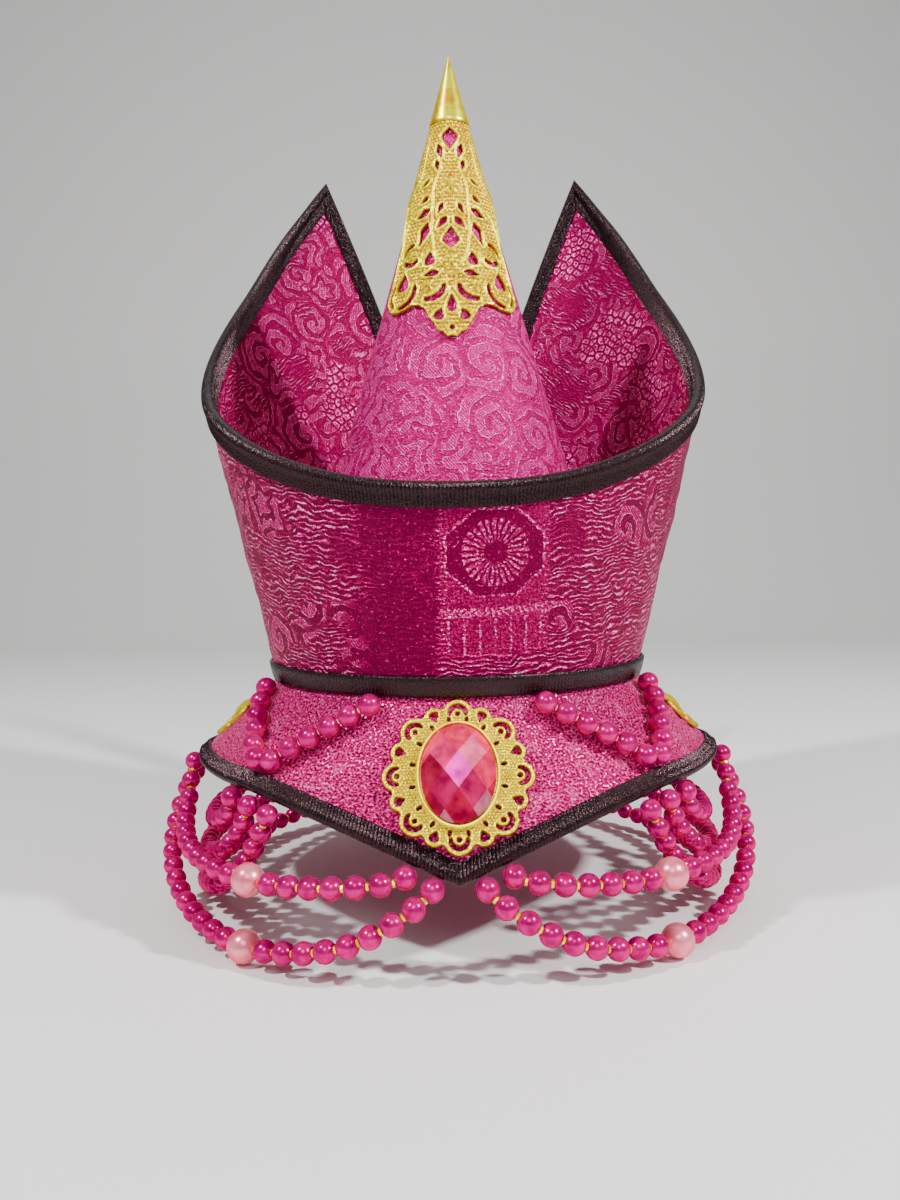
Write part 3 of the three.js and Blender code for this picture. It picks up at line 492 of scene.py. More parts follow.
# The cone is the same brocade as the brim, given lighter tones as painted light, since it is lit more.
LIT_CONE_TONES = ("#A8005C", "#D80C86", "#FF5CBA", "#FFC8E8")
BRIM_OUTSIDE = brocade("silky_jacquard_brocade_outside", DEEP_TONES, bare=0.36, scrolls=0.57, medallion=True)
BRIM_INSIDE = brocade("silky_jacquard_brocade_inside", INNER_TONES, bare=0.36, scrolls=0.44, cobbles=0.57)
CONE_CLOTH = brocade(
    "silky_jacquard_brocade_cone", LIT_CONE_TONES, bare=0.3, scrolls=0.36, depth=0.0008, specks=0.48
)
print("brocades:", BRIM_OUTSIDE.name, BRIM_INSIDE.name, CONE_CLOTH.name)

# %% Crepe material
CREPE_GRAIN = 1.15
CREPE_PATCH = 20
CREPE_DEPTH = 0.001
# Painted shade between the grains, then the cloth's pink, then a pale pink painted on the grain tops as
# highlight.
CREPE_SHADE_BETWEEN_GRAINS = "#64002F"
CREPE_PINK_AND_HIGHLIGHT = (("#FF2090", 0, 0.7), ("#FF9CD4", 0.7, 1.3))


def crepe():
    """Pebbled crepe side of the brocade: small rounded grains of pink, painted pale on top as highlight and
    deep between as shade.
    """
    material, tree = new_material("pebbled_crepe_brocade")
    cloth = add_node(tree, "UVMap", out="UV", uv_map="cloth")
    pebble = noise(tree, cloth, CREPE_GRAIN, 1.5, roughness=0.6)
    dome = ramp(tree, pebble, 0.36, 0.64)
    patches = noise(tree, cloth, CREPE_PATCH, 1)
    scrolled = ramp(tree, patches, 0.54, 0.6)
    lines = maths(tree, "MULTIPLY", scroll_height(tree, cloth), scrolled)
    height = maths(tree, "MULTIPLY_ADD", lines, 0.5, dome)
    # Painted shade and highlight: the grains' height darkens the hollows and lightens the tops.
    tone = linear(CREPE_SHADE_BETWEEN_GRAINS)
    for colour, start, full in CREPE_PINK_AND_HIGHLIGHT:
        share = ramp(tree, height, start, full)
        tone = blend(tree, share, tone, linear(colour))
    silk(tree, tone, 0.35, height, CREPE_DEPTH)
    return material


SKIRT_CLOTH = crepe()
print("crepe grain:", CREPE_GRAIN, "mm")

# %% [markdown]
# ## Cloth walls
# Brim, cone and skirt are stiff brocade walls of 2.4 mm. Each is a closed profile carried round the axis:
# up the outer face, over the edge and down the inner face. Stiffened cloth is never quite even, so a
# gentle wave of some tenths of a millimetre runs over both faces, as if from a few hand-sewn stays.

# %% Shape of the hat
GAP = 0.3
CLOTH = 2.4
WAIST_RADIUS = 88
CONE_BASE_RADIUS = 84.6
CONE_HEIGHT = 291
BRIM_FLARE = 0.232
PEAK_AZIMUTH = 149.7
NOTCH_AZIMUTH = 177
NOTCH_HEIGHT = 82
BINDING_LIP = 1.8
RIM_ROWS = [(0, 87), (27, 92), (57, 112), (90, 146), (120, 199), (141, 257), (PEAK_AZIMUTH, 284)]
SKIRT_RADIUS = 117.5
SKIRT_DROP = 37.5
POINT_OUT, POINT_OUT_REACH = 4.5, 30
POINT_DROP, POINT_REACH, POINT_CURVE = 28, 52, 1.7
CORNER_OUT, CORNER_START = 10, 35
WAVE_COUNT = 20


def place(azimuth, radius, height):
    """A point at degrees from the front, a distance from the axis and a height: (r sin a, -r cos a, h)."""
    angle = np.radians(azimuth)
    return np.stack(np.broadcast_arrays(radius * np.sin(angle), -radius * np.cos(angle), height), axis=-1)


def hermite(t, start, leave, end, arrive):
    """Cubic from start to end at t from 0 to 1, with the slopes that it leaves and arrives with."""
    return (
        start * (2 * t**3 - 3 * t**2 + 1) + leave * (t**3 - 2 * t**2 + t)
        + end * (3 * t**2 - 2 * t**3) + arrive * (t**3 - t**2)
    )


def smooth_rows(rows, at):
    """Height between rows: a cubic through each, with averaged slopes and level at the first."""
    spots, heights = np.array(rows, float).T
    slopes = np.gradient(heights, spots)
    slopes[1:-1] = (heights[2:] - heights[:-2]) / (spots[2:] - spots[:-2])
    slopes[0] = 0
    row = np.clip(np.searchsorted(spots, at, side="right") - 1, 0, len(rows) - 2)
    span = spots[row + 1] - spots[row]
    t = (at - spots[row]) / span
    return hermite(t, heights[row], slopes[row] * span, heights[row + 1], slopes[row + 1] * span)


def from_front(azimuth):
    """Degrees away from the front, on either side."""
    return np.abs((azimuth + 180) % 360 - 180)


def brim_point(azimuth, height, out):
    """The brim opens upwards as a cone; out is measured square to its outer face."""
    lean = math.atan(BRIM_FLARE)
    radius = WAIST_RADIUS + BRIM_FLARE * height
    return place(azimuth, radius + out * math.cos(lean), height - out * math.sin(lean))


def brim_top(azimuth):
    """The cloth's upper edge: the rim as far as the peak, then straight down into the notch."""
    side = from_front(azimuth)
    rim = smooth_rows(RIM_ROWS, np.minimum(side, PEAK_AZIMUTH))
    fall = np.clip((side - PEAK_AZIMUTH) / (NOTCH_AZIMUTH - PEAK_AZIMUTH), 0, 1)
    return rim + (NOTCH_HEIGHT - RIM_ROWS[-1][1]) * fall - BINDING_LIP


def skirt_edge(azimuth):
    """Radius and height of the skirt's edge: points at front and back, blunt corners at the sides."""
    side = from_front(azimuth)
    off = np.minimum(side, 180 - side)
    point = np.clip(1 - off / POINT_REACH, 0, 1) ** POINT_CURVE
    stand_out = np.clip(1 - off / POINT_OUT_REACH, 0, 1) ** 2
    corner = np.clip((off - CORNER_START) / (90 - CORNER_START), 0, 1) ** 2
    return SKIRT_RADIUS + POINT_OUT * stand_out + CORNER_OUT * corner, -(SKIRT_DROP + POINT_DROP * point)


def skirt_point(azimuth, height, out, beyond=0):
    """Down the skirt's straight slope to a height, then out from its face and past its edge."""
    edge_radius, edge_height = skirt_edge(azimuth)
    run = edge_radius - WAIST_RADIUS
    length = np.hypot(run, edge_height)
    radius = WAIST_RADIUS + run * height / edge_height
    return place(
        azimuth,
        radius - out * edge_height / length + beyond * run / length,
        height + out * run / length + beyond * edge_height / length,
    )


def cone_radius(height):
    """Radius of the cone's face, which shrinks evenly to nothing at its full height."""
    return CONE_BASE_RADIUS * (1 - height / CONE_HEIGHT)


CONE_LEAN = math.atan(CONE_BASE_RADIUS / CONE_HEIGHT)


def cone_point(azimuth, height, out):
    """The crown cone; out is measured square to its face."""
    return place(azimuth, cone_radius(height) + out / math.cos(CONE_LEAN), height)


def unevenness(points, wavelength, seed):
    """Gentle random waves: a sum of plane waves of one length in seeded directions, of unit spread."""
    random = np.random.default_rng(seed)
    ways = random.normal(size=(WAVE_COUNT, 3))
    ways *= (TURN / wavelength) / np.linalg.norm(ways, axis=1, keepdims=True)
    phases = random.uniform(0, TURN, WAVE_COUNT)
    return np.sin(points @ ways.T + phases).sum(axis=-1) / math.sqrt(WAVE_COUNT / 2)


print("brim top at front, side, peak:", brim_top(np.array([0, 90, PEAK_AZIMUTH])).round(1))

# %% Brim
STATION_STEP = 1.0
PUCKER, PUCKER_LENGTH = 0.16, 9
BILLOW, BILLOW_LENGTH = 0.35, 46


def stations(corners):
    """Azimuths from -180 to 180 with a station on each corner and even steps between."""
    ends = sorted({-180, *corners, *[-corner for corner in corners], 180})
    runs = [
        np.linspace(a, b, max(2, round((b - a) / STATION_STEP)), endpoint=False)
        for a, b in zip(ends, ends[1:])
    ]
    return np.concatenate(runs)


def wall_loop(azimuths, surface, low, high, outer_rows, inner_rows):
    """A wall's closed loop at each azimuth: up its outer face, over the edge and down the inner one."""
    up = np.linspace(0, 1, outer_rows)[:, None]
    down = np.linspace(1, 0, inner_rows)[:, None]
    shares = np.vstack([up, down])
    outs = np.vstack([np.zeros_like(up), np.full_like(down, -CLOTH)])
    heights = low + (high - low) * shares
    plain = surface(azimuths, heights, outs)
    inset = np.sin(np.pi * np.clip(shares, 0, 1)) ** 0.5
    pucker = PUCKER * unevenness(plain, PUCKER_LENGTH, seed=3)
    billow = BILLOW * unevenness(plain, BILLOW_LENGTH, seed=4)
    return surface(azimuths, heights, outs + (pucker + billow) * inset), heights


def closed(azimuths, heights):
    """Azimuths and heights of a wall's loops, with the first loop again at the end."""
    return np.append(azimuths, 180), np.hstack([heights, heights[:, :1]])


def make_wall(name, node, points, flat, outer_rows, materials):
    """A closed wall from its loops, with outer and inner cloth and the flat cloth's mm as UV."""
    rows, columns = points.shape[:2]
    faces = grid_faces(rows, columns, close_rows=True, close_columns=True)
    across = np.arange(rows * columns) // columns
    inner = (across >= outer_rows - 1) & (across < rows - 1)
    open_flat = np.concatenate([flat, flat[:1]], axis=0)
    return make_piece(
        name, points.reshape(-1, 3), [faces], "brocade", materials, [node],
        uv=[cells(open_flat)], face_materials=[inner.astype(int)],
    )


def unrolled(azimuths, radii, lean, upright):
    """Flat cloth of a cone wall: its slant distance from the apex, turned by azimuth times sin(lean)."""
    slant = radii / math.sin(lean)
    angle = np.radians(azimuths) * math.sin(lean)
    level = slant * np.cos(angle)
    return np.stack(np.broadcast_arrays(slant * np.sin(angle), level if upright else -level), axis=-1)


BRIM_ROWS = (96, 64)
brim_azimuths = stations([0, PEAK_AZIMUTH, NOTCH_AZIMUTH])
brim_points, brim_heights = wall_loop(brim_azimuths, brim_point, GAP / 2, brim_top(brim_azimuths), *BRIM_ROWS)
closed_azimuths, closed_heights = closed(brim_azimuths, brim_heights)
brim_lean = math.atan(BRIM_FLARE)
brim_flat = unrolled(closed_azimuths, WAIST_RADIUS + BRIM_FLARE * closed_heights, brim_lean, upright=True)
brim_flat[..., 1] -= WAIST_RADIUS / math.sin(brim_lean)
make_wall(
    "upturned_brim_cloth", "upturned_brim", brim_points, brim_flat, BRIM_ROWS[0], [BRIM_OUTSIDE, BRIM_INSIDE]
)

# %% Crown cone
CONE_ROWS = 100
CUT_BELOW_TIP = 2
CONE_BILLOW, CONE_BILLOW_LENGTH = 0.175, 40
FLAT_FROM, FLAT_FADE = 160, 30
FOOT_FADE = 6
SEAM_FLARE = 0.93
SEAM_HEIGHT = 5
cone_azimuths = stations([0])
rise = np.linspace(GAP / 2, CONE_HEIGHT - CUT_BELOW_TIP, CONE_ROWS)[:, None]
inner_top = CONE_HEIGHT - CLOTH / math.sin(CONE_LEAN) - CUT_BELOW_TIP
fall = np.linspace(inner_top, GAP / 2, CONE_ROWS // 2)[:, None]
cone_heights = np.vstack([rise, fall]) + 0 * cone_azimuths
cone_outs = np.vstack([np.zeros_like(rise), np.full_like(fall, -CLOTH)])
cone_plain = cone_point(cone_azimuths, cone_heights, cone_outs)
cone_wave = PUCKER * unevenness(cone_plain, PUCKER_LENGTH, seed=5)
cone_wave += CONE_BILLOW * unevenness(cone_plain, CONE_BILLOW_LENGTH, seed=6)
below_gilt = np.clip((FLAT_FROM - cone_heights) / FLAT_FADE, 0, 1) * np.clip(cone_heights / FOOT_FADE, 0, 1)
seam_flare = SEAM_FLARE * np.clip(1 - cone_heights / SEAM_HEIGHT, 0, 1)
cone_points = cone_point(cone_azimuths, cone_heights, cone_outs + cone_wave * below_gilt + seam_flare)
closed_azimuths, closed_heights = closed(cone_azimuths, cone_heights)
cone_flat = unrolled(closed_azimuths, cone_radius(closed_heights), CONE_LEAN, upright=False)
make_wall("crown_cone_cloth", "crown_cone", cone_points, cone_flat, CONE_ROWS, [CONE_CLOTH, CONE_CLOTH])

# %% Skirt
SKIRT_ROWS = (40, 24)
SLANT_PER_DROP = 1.3
skirt_azimuths = stations([0, 90])
skirt_bottom = skirt_edge(skirt_azimuths)[1]
skirt_points, skirt_heights = wall_loop(skirt_azimuths, skirt_point, -GAP / 2, skirt_bottom, *SKIRT_ROWS)
closed_azimuths, closed_heights = closed(skirt_azimuths, skirt_heights)
skirt_around = np.radians(closed_azimuths) * (WAIST_RADIUS + SKIRT_RADIUS) / 2
skirt_flat = np.stack(np.broadcast_arrays(skirt_around, closed_heights * SLANT_PER_DROP), axis=-1)
make_wall("skirt_cloth", "skirt", skirt_points, skirt_flat, SKIRT_ROWS[0], [SKIRT_CLOTH, SKIRT_CLOTH])

# %% [markdown]
# ## Black bindings and band
# A black ribbed tape is folded over each edge, with a rounded piping along the fold, and a flat ribbon
# hides the waist seam. The tape is one section carried along the edge. On the unrolled cloth each inset
# line starts later at a corner, by its inset times tan(half the turn), so that both runs meet in a mitre.

# %% Ribbon material
RIBBON_THREAD = 0.9 * MM
RIBBON_WEAR = 12 * MM


def grosgrain(name, dark, light, tint):
    """Black rayon grosgrain: nearly black, with brown in its lights and small glints on the thread."""
    material, tree = new_material(name)
    spot = add_node(tree, "TexCoord", out="Object")
    thread = noise(tree, spot, RIBBON_THREAD, 2)
    worn = noise(tree, spot, RIBBON_WEAR, 2)
    mixed = maths(tree, "MULTIPLY", thread, worn)
    share = ramp(tree, mixed, 0.2, 0.45)
    tone = blend(tree, share, linear(dark), linear(light))
    gloss = ramp(tree, thread, 0.35, 0.7, 0.38, 0.18)
    normal = add_node(tree, "Bump", {"Height": thread, "Strength": 0.8, "Distance": 0.0005})
    shade(tree, {"Base Color": tone, "Roughness": gloss, "Normal": normal, "Specular Tint": linear(tint)})
    return material


RIBBON = grosgrain("black_rayon_grosgrain", "#060103", "#1C0A0E", "#E8B4BE")
print("ribbon thread:", RIBBON_THREAD / MM, "mm")

# %% Tape
RIB_PITCH = 1.6
RIB_STEPS = 4
RIB_RAISE = 0.26
PIPING_RADIUS = 2.9
PIPING_TURN = np.radians(np.linspace(62, 180, 8))
TAPE_FACE = 2.5
TAPE_INSIDE = 1.75


def make_ring(name, points, slot, material, nodes=()):
    """A piece from a grid of points that is closed both ways, like a ring."""
    faces = grid_faces(*points.shape[:2], close_rows=True, close_columns=True)
    make_piece(name, points.reshape(-1, 3), [faces], slot, [material], nodes)


def tape_section(width):
    """Half of the folded tape as (inset, out, rib weight): flat tape, a groove, then the round piping."""
    middle = PIPING_RADIUS - BINDING_LIP
    piping = np.stack([np.cos(PIPING_TURN), np.sin(PIPING_TURN)], axis=1) * PIPING_RADIUS + (middle, 0)
    face = np.array([
        [width, TAPE_FACE - 0.5], [width - 0.3, TAPE_FACE], [width / 2 + 2, TAPE_FACE + 0.1],
        [4.2, TAPE_FACE - 0.05],
    ])
    half = np.vstack([face, piping])
    mirrored = half[-2::-1] * (1, -1)
    hidden = np.array([[width, -1], [-GAP, -1], [-GAP, 1], [width, 1]]) * (1, TAPE_INSIDE)
    section = np.vstack([half, mirrored, hidden])
    weight = np.append(np.ones(len(section) - len(hidden)), np.zeros(len(hidden)))
    return section[:, 0], section[:, 1], weight


# %% Binding helper
EDGE_SAMPLES = 3000


def bind_edge(name, node, corners, edge, surface, inside, width):
    """Carries the folded tape round a closed edge; inside is 1 where the cloth lies above, -1 below."""
    inset, out, weight = tape_section(width)
    runs = []
    for start, end in zip(corners, [*corners[1:], corners[0] + 360]):
        azimuth = np.linspace(start, end, EDGE_SAMPLES)
        radius, height, rise = edge(azimuth)
        step = np.stack([
            np.radians(np.diff(azimuth)) * (radius[1:] + radius[:-1]) / 2, np.diff(height) / rise[1:]
        ])
        length = np.concatenate([[0], np.cumsum(np.hypot(*step))])
        along = np.gradient(np.hstack([np.zeros((2, 1)), np.cumsum(step, axis=1)]), length, axis=1)
        runs.append((azimuth, radius, height, rise, length, along / np.hypot(*along)))
    rings = []
    for index, (azimuth, radius, height, rise, length, along) in enumerate(runs):
        before = runs[index - 1][-1][:, -1]
        after = runs[(index + 1) % len(runs)][-1][:, 0]
        mitres = [
            math.tan(inside * math.atan2(a[0] * b[1] - a[1] * b[0], a @ b) / 2)
            for a, b in ((before, along[:, 0]), (along[:, -1], after))
        ]
        count = RIB_STEPS * round(length[-1] / RIB_PITCH)
        share = np.linspace(0, 1, count, endpoint=False)[:, None]
        low = inset * mitres[0]
        at = low + (length[-1] - inset * mitres[1] - low) * share
        kept = np.clip(at, 0, length[-1])
        way = np.stack([np.interp(kept, length, part) for part in along])
        inward = inside * np.stack([-way[1], way[0]])
        moved = inward * inset + way * (at - kept)
        rib = RIB_RAISE * np.cos(TURN * np.arange(count) / RIB_STEPS)[:, None]
        outs = out + np.sign(out) * weight * rib
        local = [np.interp(kept, length, part) for part in (azimuth, radius, height, rise)]
        rings.append(surface(
            local[0] + np.degrees(moved[0] / local[1]), local[2] + moved[1] * local[3], outs - CLOTH / 2
        ))
    make_ring(name, np.concatenate(rings), "ribbon", RIBBON, [node])


# %% Bound edges
def brim_edge(azimuth):
    """The brim's upper edge: its radius, height and the rise of the slope per mm."""
    height = brim_top(azimuth)
    return WAIST_RADIUS + BRIM_FLARE * height, height, np.full_like(height, math.cos(brim_lean))


def skirt_hem(azimuth):
    """The skirt's lower edge: its radius, height and the rise of the slope per mm."""
    radius, height = skirt_edge(azimuth)
    return radius, height, -height / np.hypot(radius - WAIST_RADIUS, height)


RIM_BINDING_WIDTH = 8.5
HEM_BINDING_WIDTH = 6.5
brim_corners = [PEAK_AZIMUTH, NOTCH_AZIMUTH, 360 - NOTCH_AZIMUTH, 360 - PEAK_AZIMUTH]
skirt_corners = [0, 90, 180, 270]
bind_edge("brim_binding_tape", "brim_binding", brim_corners, brim_edge, brim_point, -1, RIM_BINDING_WIDTH)
bind_edge("skirt_binding_tape", "skirt_binding", skirt_corners, skirt_hem, skirt_point, 1, HEM_BINDING_WIDTH)

# %% Waist band
BAND_HEIGHT = 9
BAND_RIB = 0.1
BAND_WAVE, BAND_WAVE_LENGTH = 0.12, 30
# Height and stand-off along the ribbon's section, from its lower back edge up its face to its upper one
band_section = np.array([
    [GAP / 2, 0.2], [GAP / 2, 0.8], [0.7, 1.4], [2.2, 1.55], [4.5, 1.6], [6.8, 1.55], [8.3, 1.4],
    [BAND_HEIGHT, 0.8], [BAND_HEIGHT, 0.2],
])
band_ribs = round(TURN * WAIST_RADIUS / RIB_PITCH)
band_azimuths = np.arange(band_ribs * RIB_STEPS) * 360 / (band_ribs * RIB_STEPS)
band_rib = BAND_RIB * np.cos(np.radians(band_azimuths) * band_ribs)
band_outer = band_section[:, 1:2] > 0.5
band_outs = GAP + band_section[:, 1:2] + band_rib * band_outer
band_flat = brim_point(band_azimuths, band_section[:, :1] + 0 * band_azimuths, band_outs)
band_wave = BAND_WAVE * unevenness(band_flat, BAND_WAVE_LENGTH, seed=8)
band_points = band_flat + place(band_azimuths, band_wave, 0) * band_outer[..., None]
make_ring("crown_band_ribbon", band_points, "ribbon", RIBBON, ["crown_band"])

# %% [markdown]
# ## Gilt lace
# The cone's panel, the brooch and the rosettes are thin brass stampings, pierced and gold plated. Such a
# lace could be cut with booleans, but a distance field is kinder: the distance of every grid point to the
# nearest edge says which cells are metal, pulls the border points onto the smooth outline, and puffs the
# bars up towards their middles as a stamping die does.

# %% Gilt materials
PLATE_SHINE = 0.75
PLATE_PATCH = 9 * MM
# Dark and bright gold, a brown gold painted into the lace's sunk places as shade, and the shine's tint.
PLATE_DARK, PLATE_BRIGHT, PLATE_HOLLOW_SHADE, PLATE_TINT = "#E8B400", "#FFF400", "#B87400", "#FFE650"


def gilt(name, roughness, grit, depth, shade_hollows=False):
    """Bright yellow gold plate; sandy stamping breaks its gloss into small lights.

    On stamped sheet the sunk places are painted browner as shade in the hollows, which the relief attribute
    gives.
    """
    material, tree = new_material(name)
    spot = add_node(tree, "TexCoord", out="Object")
    grain = noise(tree, spot, grit * MM, 2)
    patch = noise(tree, spot, PLATE_PATCH, 1)
    mixed = maths(tree, "MULTIPLY", grain, patch)
    share = ramp(tree, mixed, 0.1, 0.24)
    tone = blend(tree, share, linear(PLATE_DARK), linear(PLATE_BRIGHT))
    # Painted shade: the low places of the lace are darkened to brown gold by the relief attribute.
    if shade_hollows:
        raised = add_node(tree, "Attribute", out="Fac", attribute_name="relief")
        tone = blend(tree, raised, linear(PLATE_HOLLOW_SHADE), tone)
    normal = add_node(tree, "Bump", {"Height": grain, "Strength": depth, "Distance": 0.0004})
    shade(tree, {
        "Base Color": tone, "Metallic": PLATE_SHINE, "Roughness": roughness, "Normal": normal,
        "Specular Tint": linear(PLATE_TINT),
    })
    return material


SANDY_GILT = gilt("gold_plated_brass_sandy", 0.34, 0.8, 0.8, shade_hollows=True)
BRIGHT_GILT = gilt("gold_plated_brass_polished", 0.3, 3, 0.1)
print("gilt:", SANDY_GILT.name, BRIGHT_GILT.name)

# %% Outlines and distances
OUTLINE_POINTS = 36
ARC_SPREADS = {"crescent": 110, "horseshoe": 205}


def opening_outline(shape, width, tall, tilt):
    """Smooth outline of an opening about its middle, as wide and tall as asked, turned by its tilt.

    An arc is as thick as it is tall, and bends round a circle as wide as asked.
    """
    t = np.linspace(0, TURN, OUTLINE_POINTS, endpoint=False)
    x, y = np.sin(t), -np.cos(t)
    if shape in ARC_SPREADS:
        bend = np.radians(ARC_SPREADS[shape] / 2) * x
        radius = 1 + np.sign(y) * np.abs(y) ** 0.6 * tall / width
        x, y, tall = radius * np.sin(bend), radius * np.cos(bend), width
    elif shape == "kite":
        x = np.sign(x) * np.abs(x) ** 1.9
        y = np.sign(y) * np.abs(y) ** 1.7 + 0.25 * (1 - y**2)
    elif shape == "drop":
        x = x * (1 - y) * 0.62 + 0.12 * x
    turn = math.radians(tilt)
    x, y = x * width / 2, y * tall / 2
    turned_x = x * math.cos(turn) - y * math.sin(turn)
    turned_y = x * math.sin(turn) + y * math.cos(turn)
    return np.stack([turned_x, turned_y], axis=1)


def path_distance(x, y, path):
    """Distance of points to the nearest place on a path of straight stretches."""
    best = np.full(x.shape, np.inf)
    for (ax, ay), (bx, by) in zip(path, path[1:]):
        run, rise = bx - ax, by - ay
        share = np.clip(((x - ax) * run + (y - ay) * rise) / (run**2 + rise**2), 0, 1)
        best = np.minimum(best, np.hypot(x - ax - share * run, y - ay - share * rise))
    return best


def outside_distance(x, y, outline):
    """Signed distance of points to a closed outline: positive outside it, negative inside."""
    inside = np.zeros(x.shape, bool)
    for (ax, ay), (bx, by) in zip(outline, np.roll(outline, -1, axis=0)):
        crosses = (ay > y) != (by > y)
        level = ax + (y - ay) * (bx - ax) / np.where(by == ay, 1, by - ay)
        inside ^= crosses & (x < level)
    best = path_distance(x, y, np.vstack([outline, outline[:1]]))
    return np.where(inside, -best, best)


# %% Pierced sheet
SLOPE_STEP = 0.02
LEAST_STEEP = 0.3
FARTHEST_SHIFT = 0.4
EDGE_LEVEL, CORD_LEVEL = 0.6, 1.7


def pierced_sheet(across, upward, metal, relief, surface, stretch=1.0):
    """Points and faces of a pierced sheet on a grid, and how far each point stands out.

    metal gives each place's signed distance to the nearest edge, positive in the sheet. Cells whose
    corners average above zero stay, their border points move down the distance's slope onto its zero
    line, relief lifts the upper face, and walls close the border. stretch is mm per unit across.
    """
    x, y = np.meshgrid(across, upward)
    depth = metal(x, y)
    kept = cells(depth).mean(axis=1).reshape(depth.shape[0] - 1, -1) > 0
    around = np.pad(kept, 1)
    corners = np.stack([around[:-1, :-1], around[:-1, 1:], around[1:, 1:], around[1:, :-1]])
    border = corners.any(axis=0) & ~corners.all(axis=0)
    slope_x = (metal(x + SLOPE_STEP, y) - metal(x - SLOPE_STEP, y)) / (2 * SLOPE_STEP) / stretch
    slope_y = (metal(x, y + SLOPE_STEP) - metal(x, y - SLOPE_STEP)) / (2 * SLOPE_STEP)
    steep = np.maximum(slope_x**2 + slope_y**2, LEAST_STEEP)
    shift = np.where(border, np.clip(depth, -FARTHEST_SHIFT, FARTHEST_SHIFT), 0) / steep
    x = x - shift * slope_x / stretch
    y = y - shift * slope_y
    depth = np.where(border, 0, np.maximum(depth, 0))
    raised = np.stack([relief(x, y, depth), np.zeros_like(x)])
    top, bottom = (surface(x, y, out).reshape(-1, 3) for out in raised)
    count = len(top)
    quads = grid_faces(*x.shape)[kept.ravel()]
    starts, ends = quads.ravel(), np.roll(quads, -1, axis=1).ravel()
    lone = ~np.isin(starts * count + ends, ends * count + starts)
    a, b = starts[lone], ends[lone]
    walls = np.stack([b, a, a + count, b + count], axis=1)
    faces = np.vstack([quads, quads[:, ::-1] + count, walls])
    used, renumbered = np.unique(faces, return_inverse=True)
    return np.vstack([top, bottom])[used], renumbered.reshape(faces.shape), raised.ravel()[used]


def make_lace(name, node, sheet):
    """A piece of pierced sheet, with its relief from the edges' level to the cords' as an attribute, which
    paints shade into the low places.
    """
    points, faces, raised = sheet
    piece = make_piece(name, points, [faces], "gilt", [SANDY_GILT], [node])
    # The relief share darkens the sunk places of the gilt as painted shade.
    layer = piece.data.attributes.new("relief", "FLOAT", "POINT")
    layer.data.foreach_set("value", np.clip((raised - EDGE_LEVEL) / (CORD_LEVEL - EDGE_LEVEL), 0, 1))


def puffed(depth, low, high, reach):
    """Height of a stamped bar: low at its edge, rising as a quarter round to high at its reach."""
    share = np.clip(depth / reach, 0, 1)
    return low + (high - low) * np.sqrt(1 - (1 - share) ** 2)


# %% Panel outline
SHEET = 1.4
TIP_BOTTOM = 265
PANEL_REACH = 58
COLLAR_FROM, COLLAR_REACH = 196, 179
HEM_ROWS = [(0, 156.5), (10, 160.5), (20, 169.5), (30, 171.5), (40, 169.5), (50, 169.5), (PANEL_REACH, 174)]
CONE_OPENINGS = [
    ("kite", 0, 255, 8, 11, 0), ("kite", 19.9, 248.6, 3.2, 7.6, -20), ("kite", 21.9, 241.3, 2.4, 5.4, -15),
    ("kite", 38, 232.9, 1.9, 5.6, 58), ("kite", 34.6, 224.4, 2.7, 5, 55), ("kite", 33.4, 217.2, 4.2, 8, 62),
    ("kite", 12.4, 219, 2.4, 5.8, 22), ("kite", 9.6, 212, 3.4, 7.4, 38), ("kite", 0, 204.6, 8, 10.6, 180),
    ("kite", 29, 206.8, 5.2, 12, 14), ("crescent", 39.3, 197.4, 9.4, 2, -45),
    ("crescent", 39.3, 197.4, 9.4, 2.4, 180), ("drop", 19.8, 194.5, 5.4, 6.6, 0),
    ("kite", 17, 187, 3.4, 8, 80), ("drop", 43.6, 184.6, 8, 9.2, 0), ("crescent", 44.5, 178.5, 12, 2, -100),
    ("crescent", 43.5, 180, 15.6, 2.5, 128), ("crescent", 17.7, 181.4, 13.4, 2.8, 144),
    ("drop", 0, 172.5, 4.6, 8.4, 0), ("drop", 8.9, 167.3, 5, 5.6, 20), ("round", 0, 160.6, 2, 2, 0),
]
SCALLOP_WIDTH = 4.2
SCALLOP_DEPTH = 1.2
SCALLOP_END, SCALLOP_FADE = 24, 6
HEM_RISE = 0.6
HEM_SLOPE = 0.88


def cone_local(azimuth, height, middle, level):
    """Millimetres across and up from a place on the cone, with the left half folded onto the right."""
    side = np.where(middle == 0, azimuth, np.abs(azimuth))
    return np.radians(side - middle) * (cone_radius(level) + SHEET), height - level


def panel_metal(azimuth, height):
    """Distance to the panel's nearest edge: its hem, its two sides or an opening.

    The hem has small scallops in the middle, and the sides run together round the cone below the point.
    """
    side = np.abs(azimuth)
    arc = np.radians(1) * (cone_radius(height) + SHEET)
    scalloped = np.clip((SCALLOP_END - side) / SCALLOP_FADE, 0, 1)
    scallop = np.abs(np.sin(np.pi * side * arc / SCALLOP_WIDTH)) * scalloped
    hem = smooth_rows(HEM_ROWS, np.minimum(side, PANEL_REACH)) - SCALLOP_DEPTH * scallop + HEM_RISE
    closing = np.clip((height - COLLAR_FROM) / (TIP_BOTTOM - COLLAR_FROM), 0, 1) ** 2
    reach = PANEL_REACH + (COLLAR_REACH - PANEL_REACH) * closing
    best = np.minimum((height - hem) * HEM_SLOPE, (reach - side) * arc)
    for shape, middle, level, width, tall, tilt in CONE_OPENINGS:
        across, upward = cone_local(azimuth, height, middle, level)
        best = np.minimum(best, outside_distance(across, upward, opening_outline(shape, width, tall, tilt)))
    return best


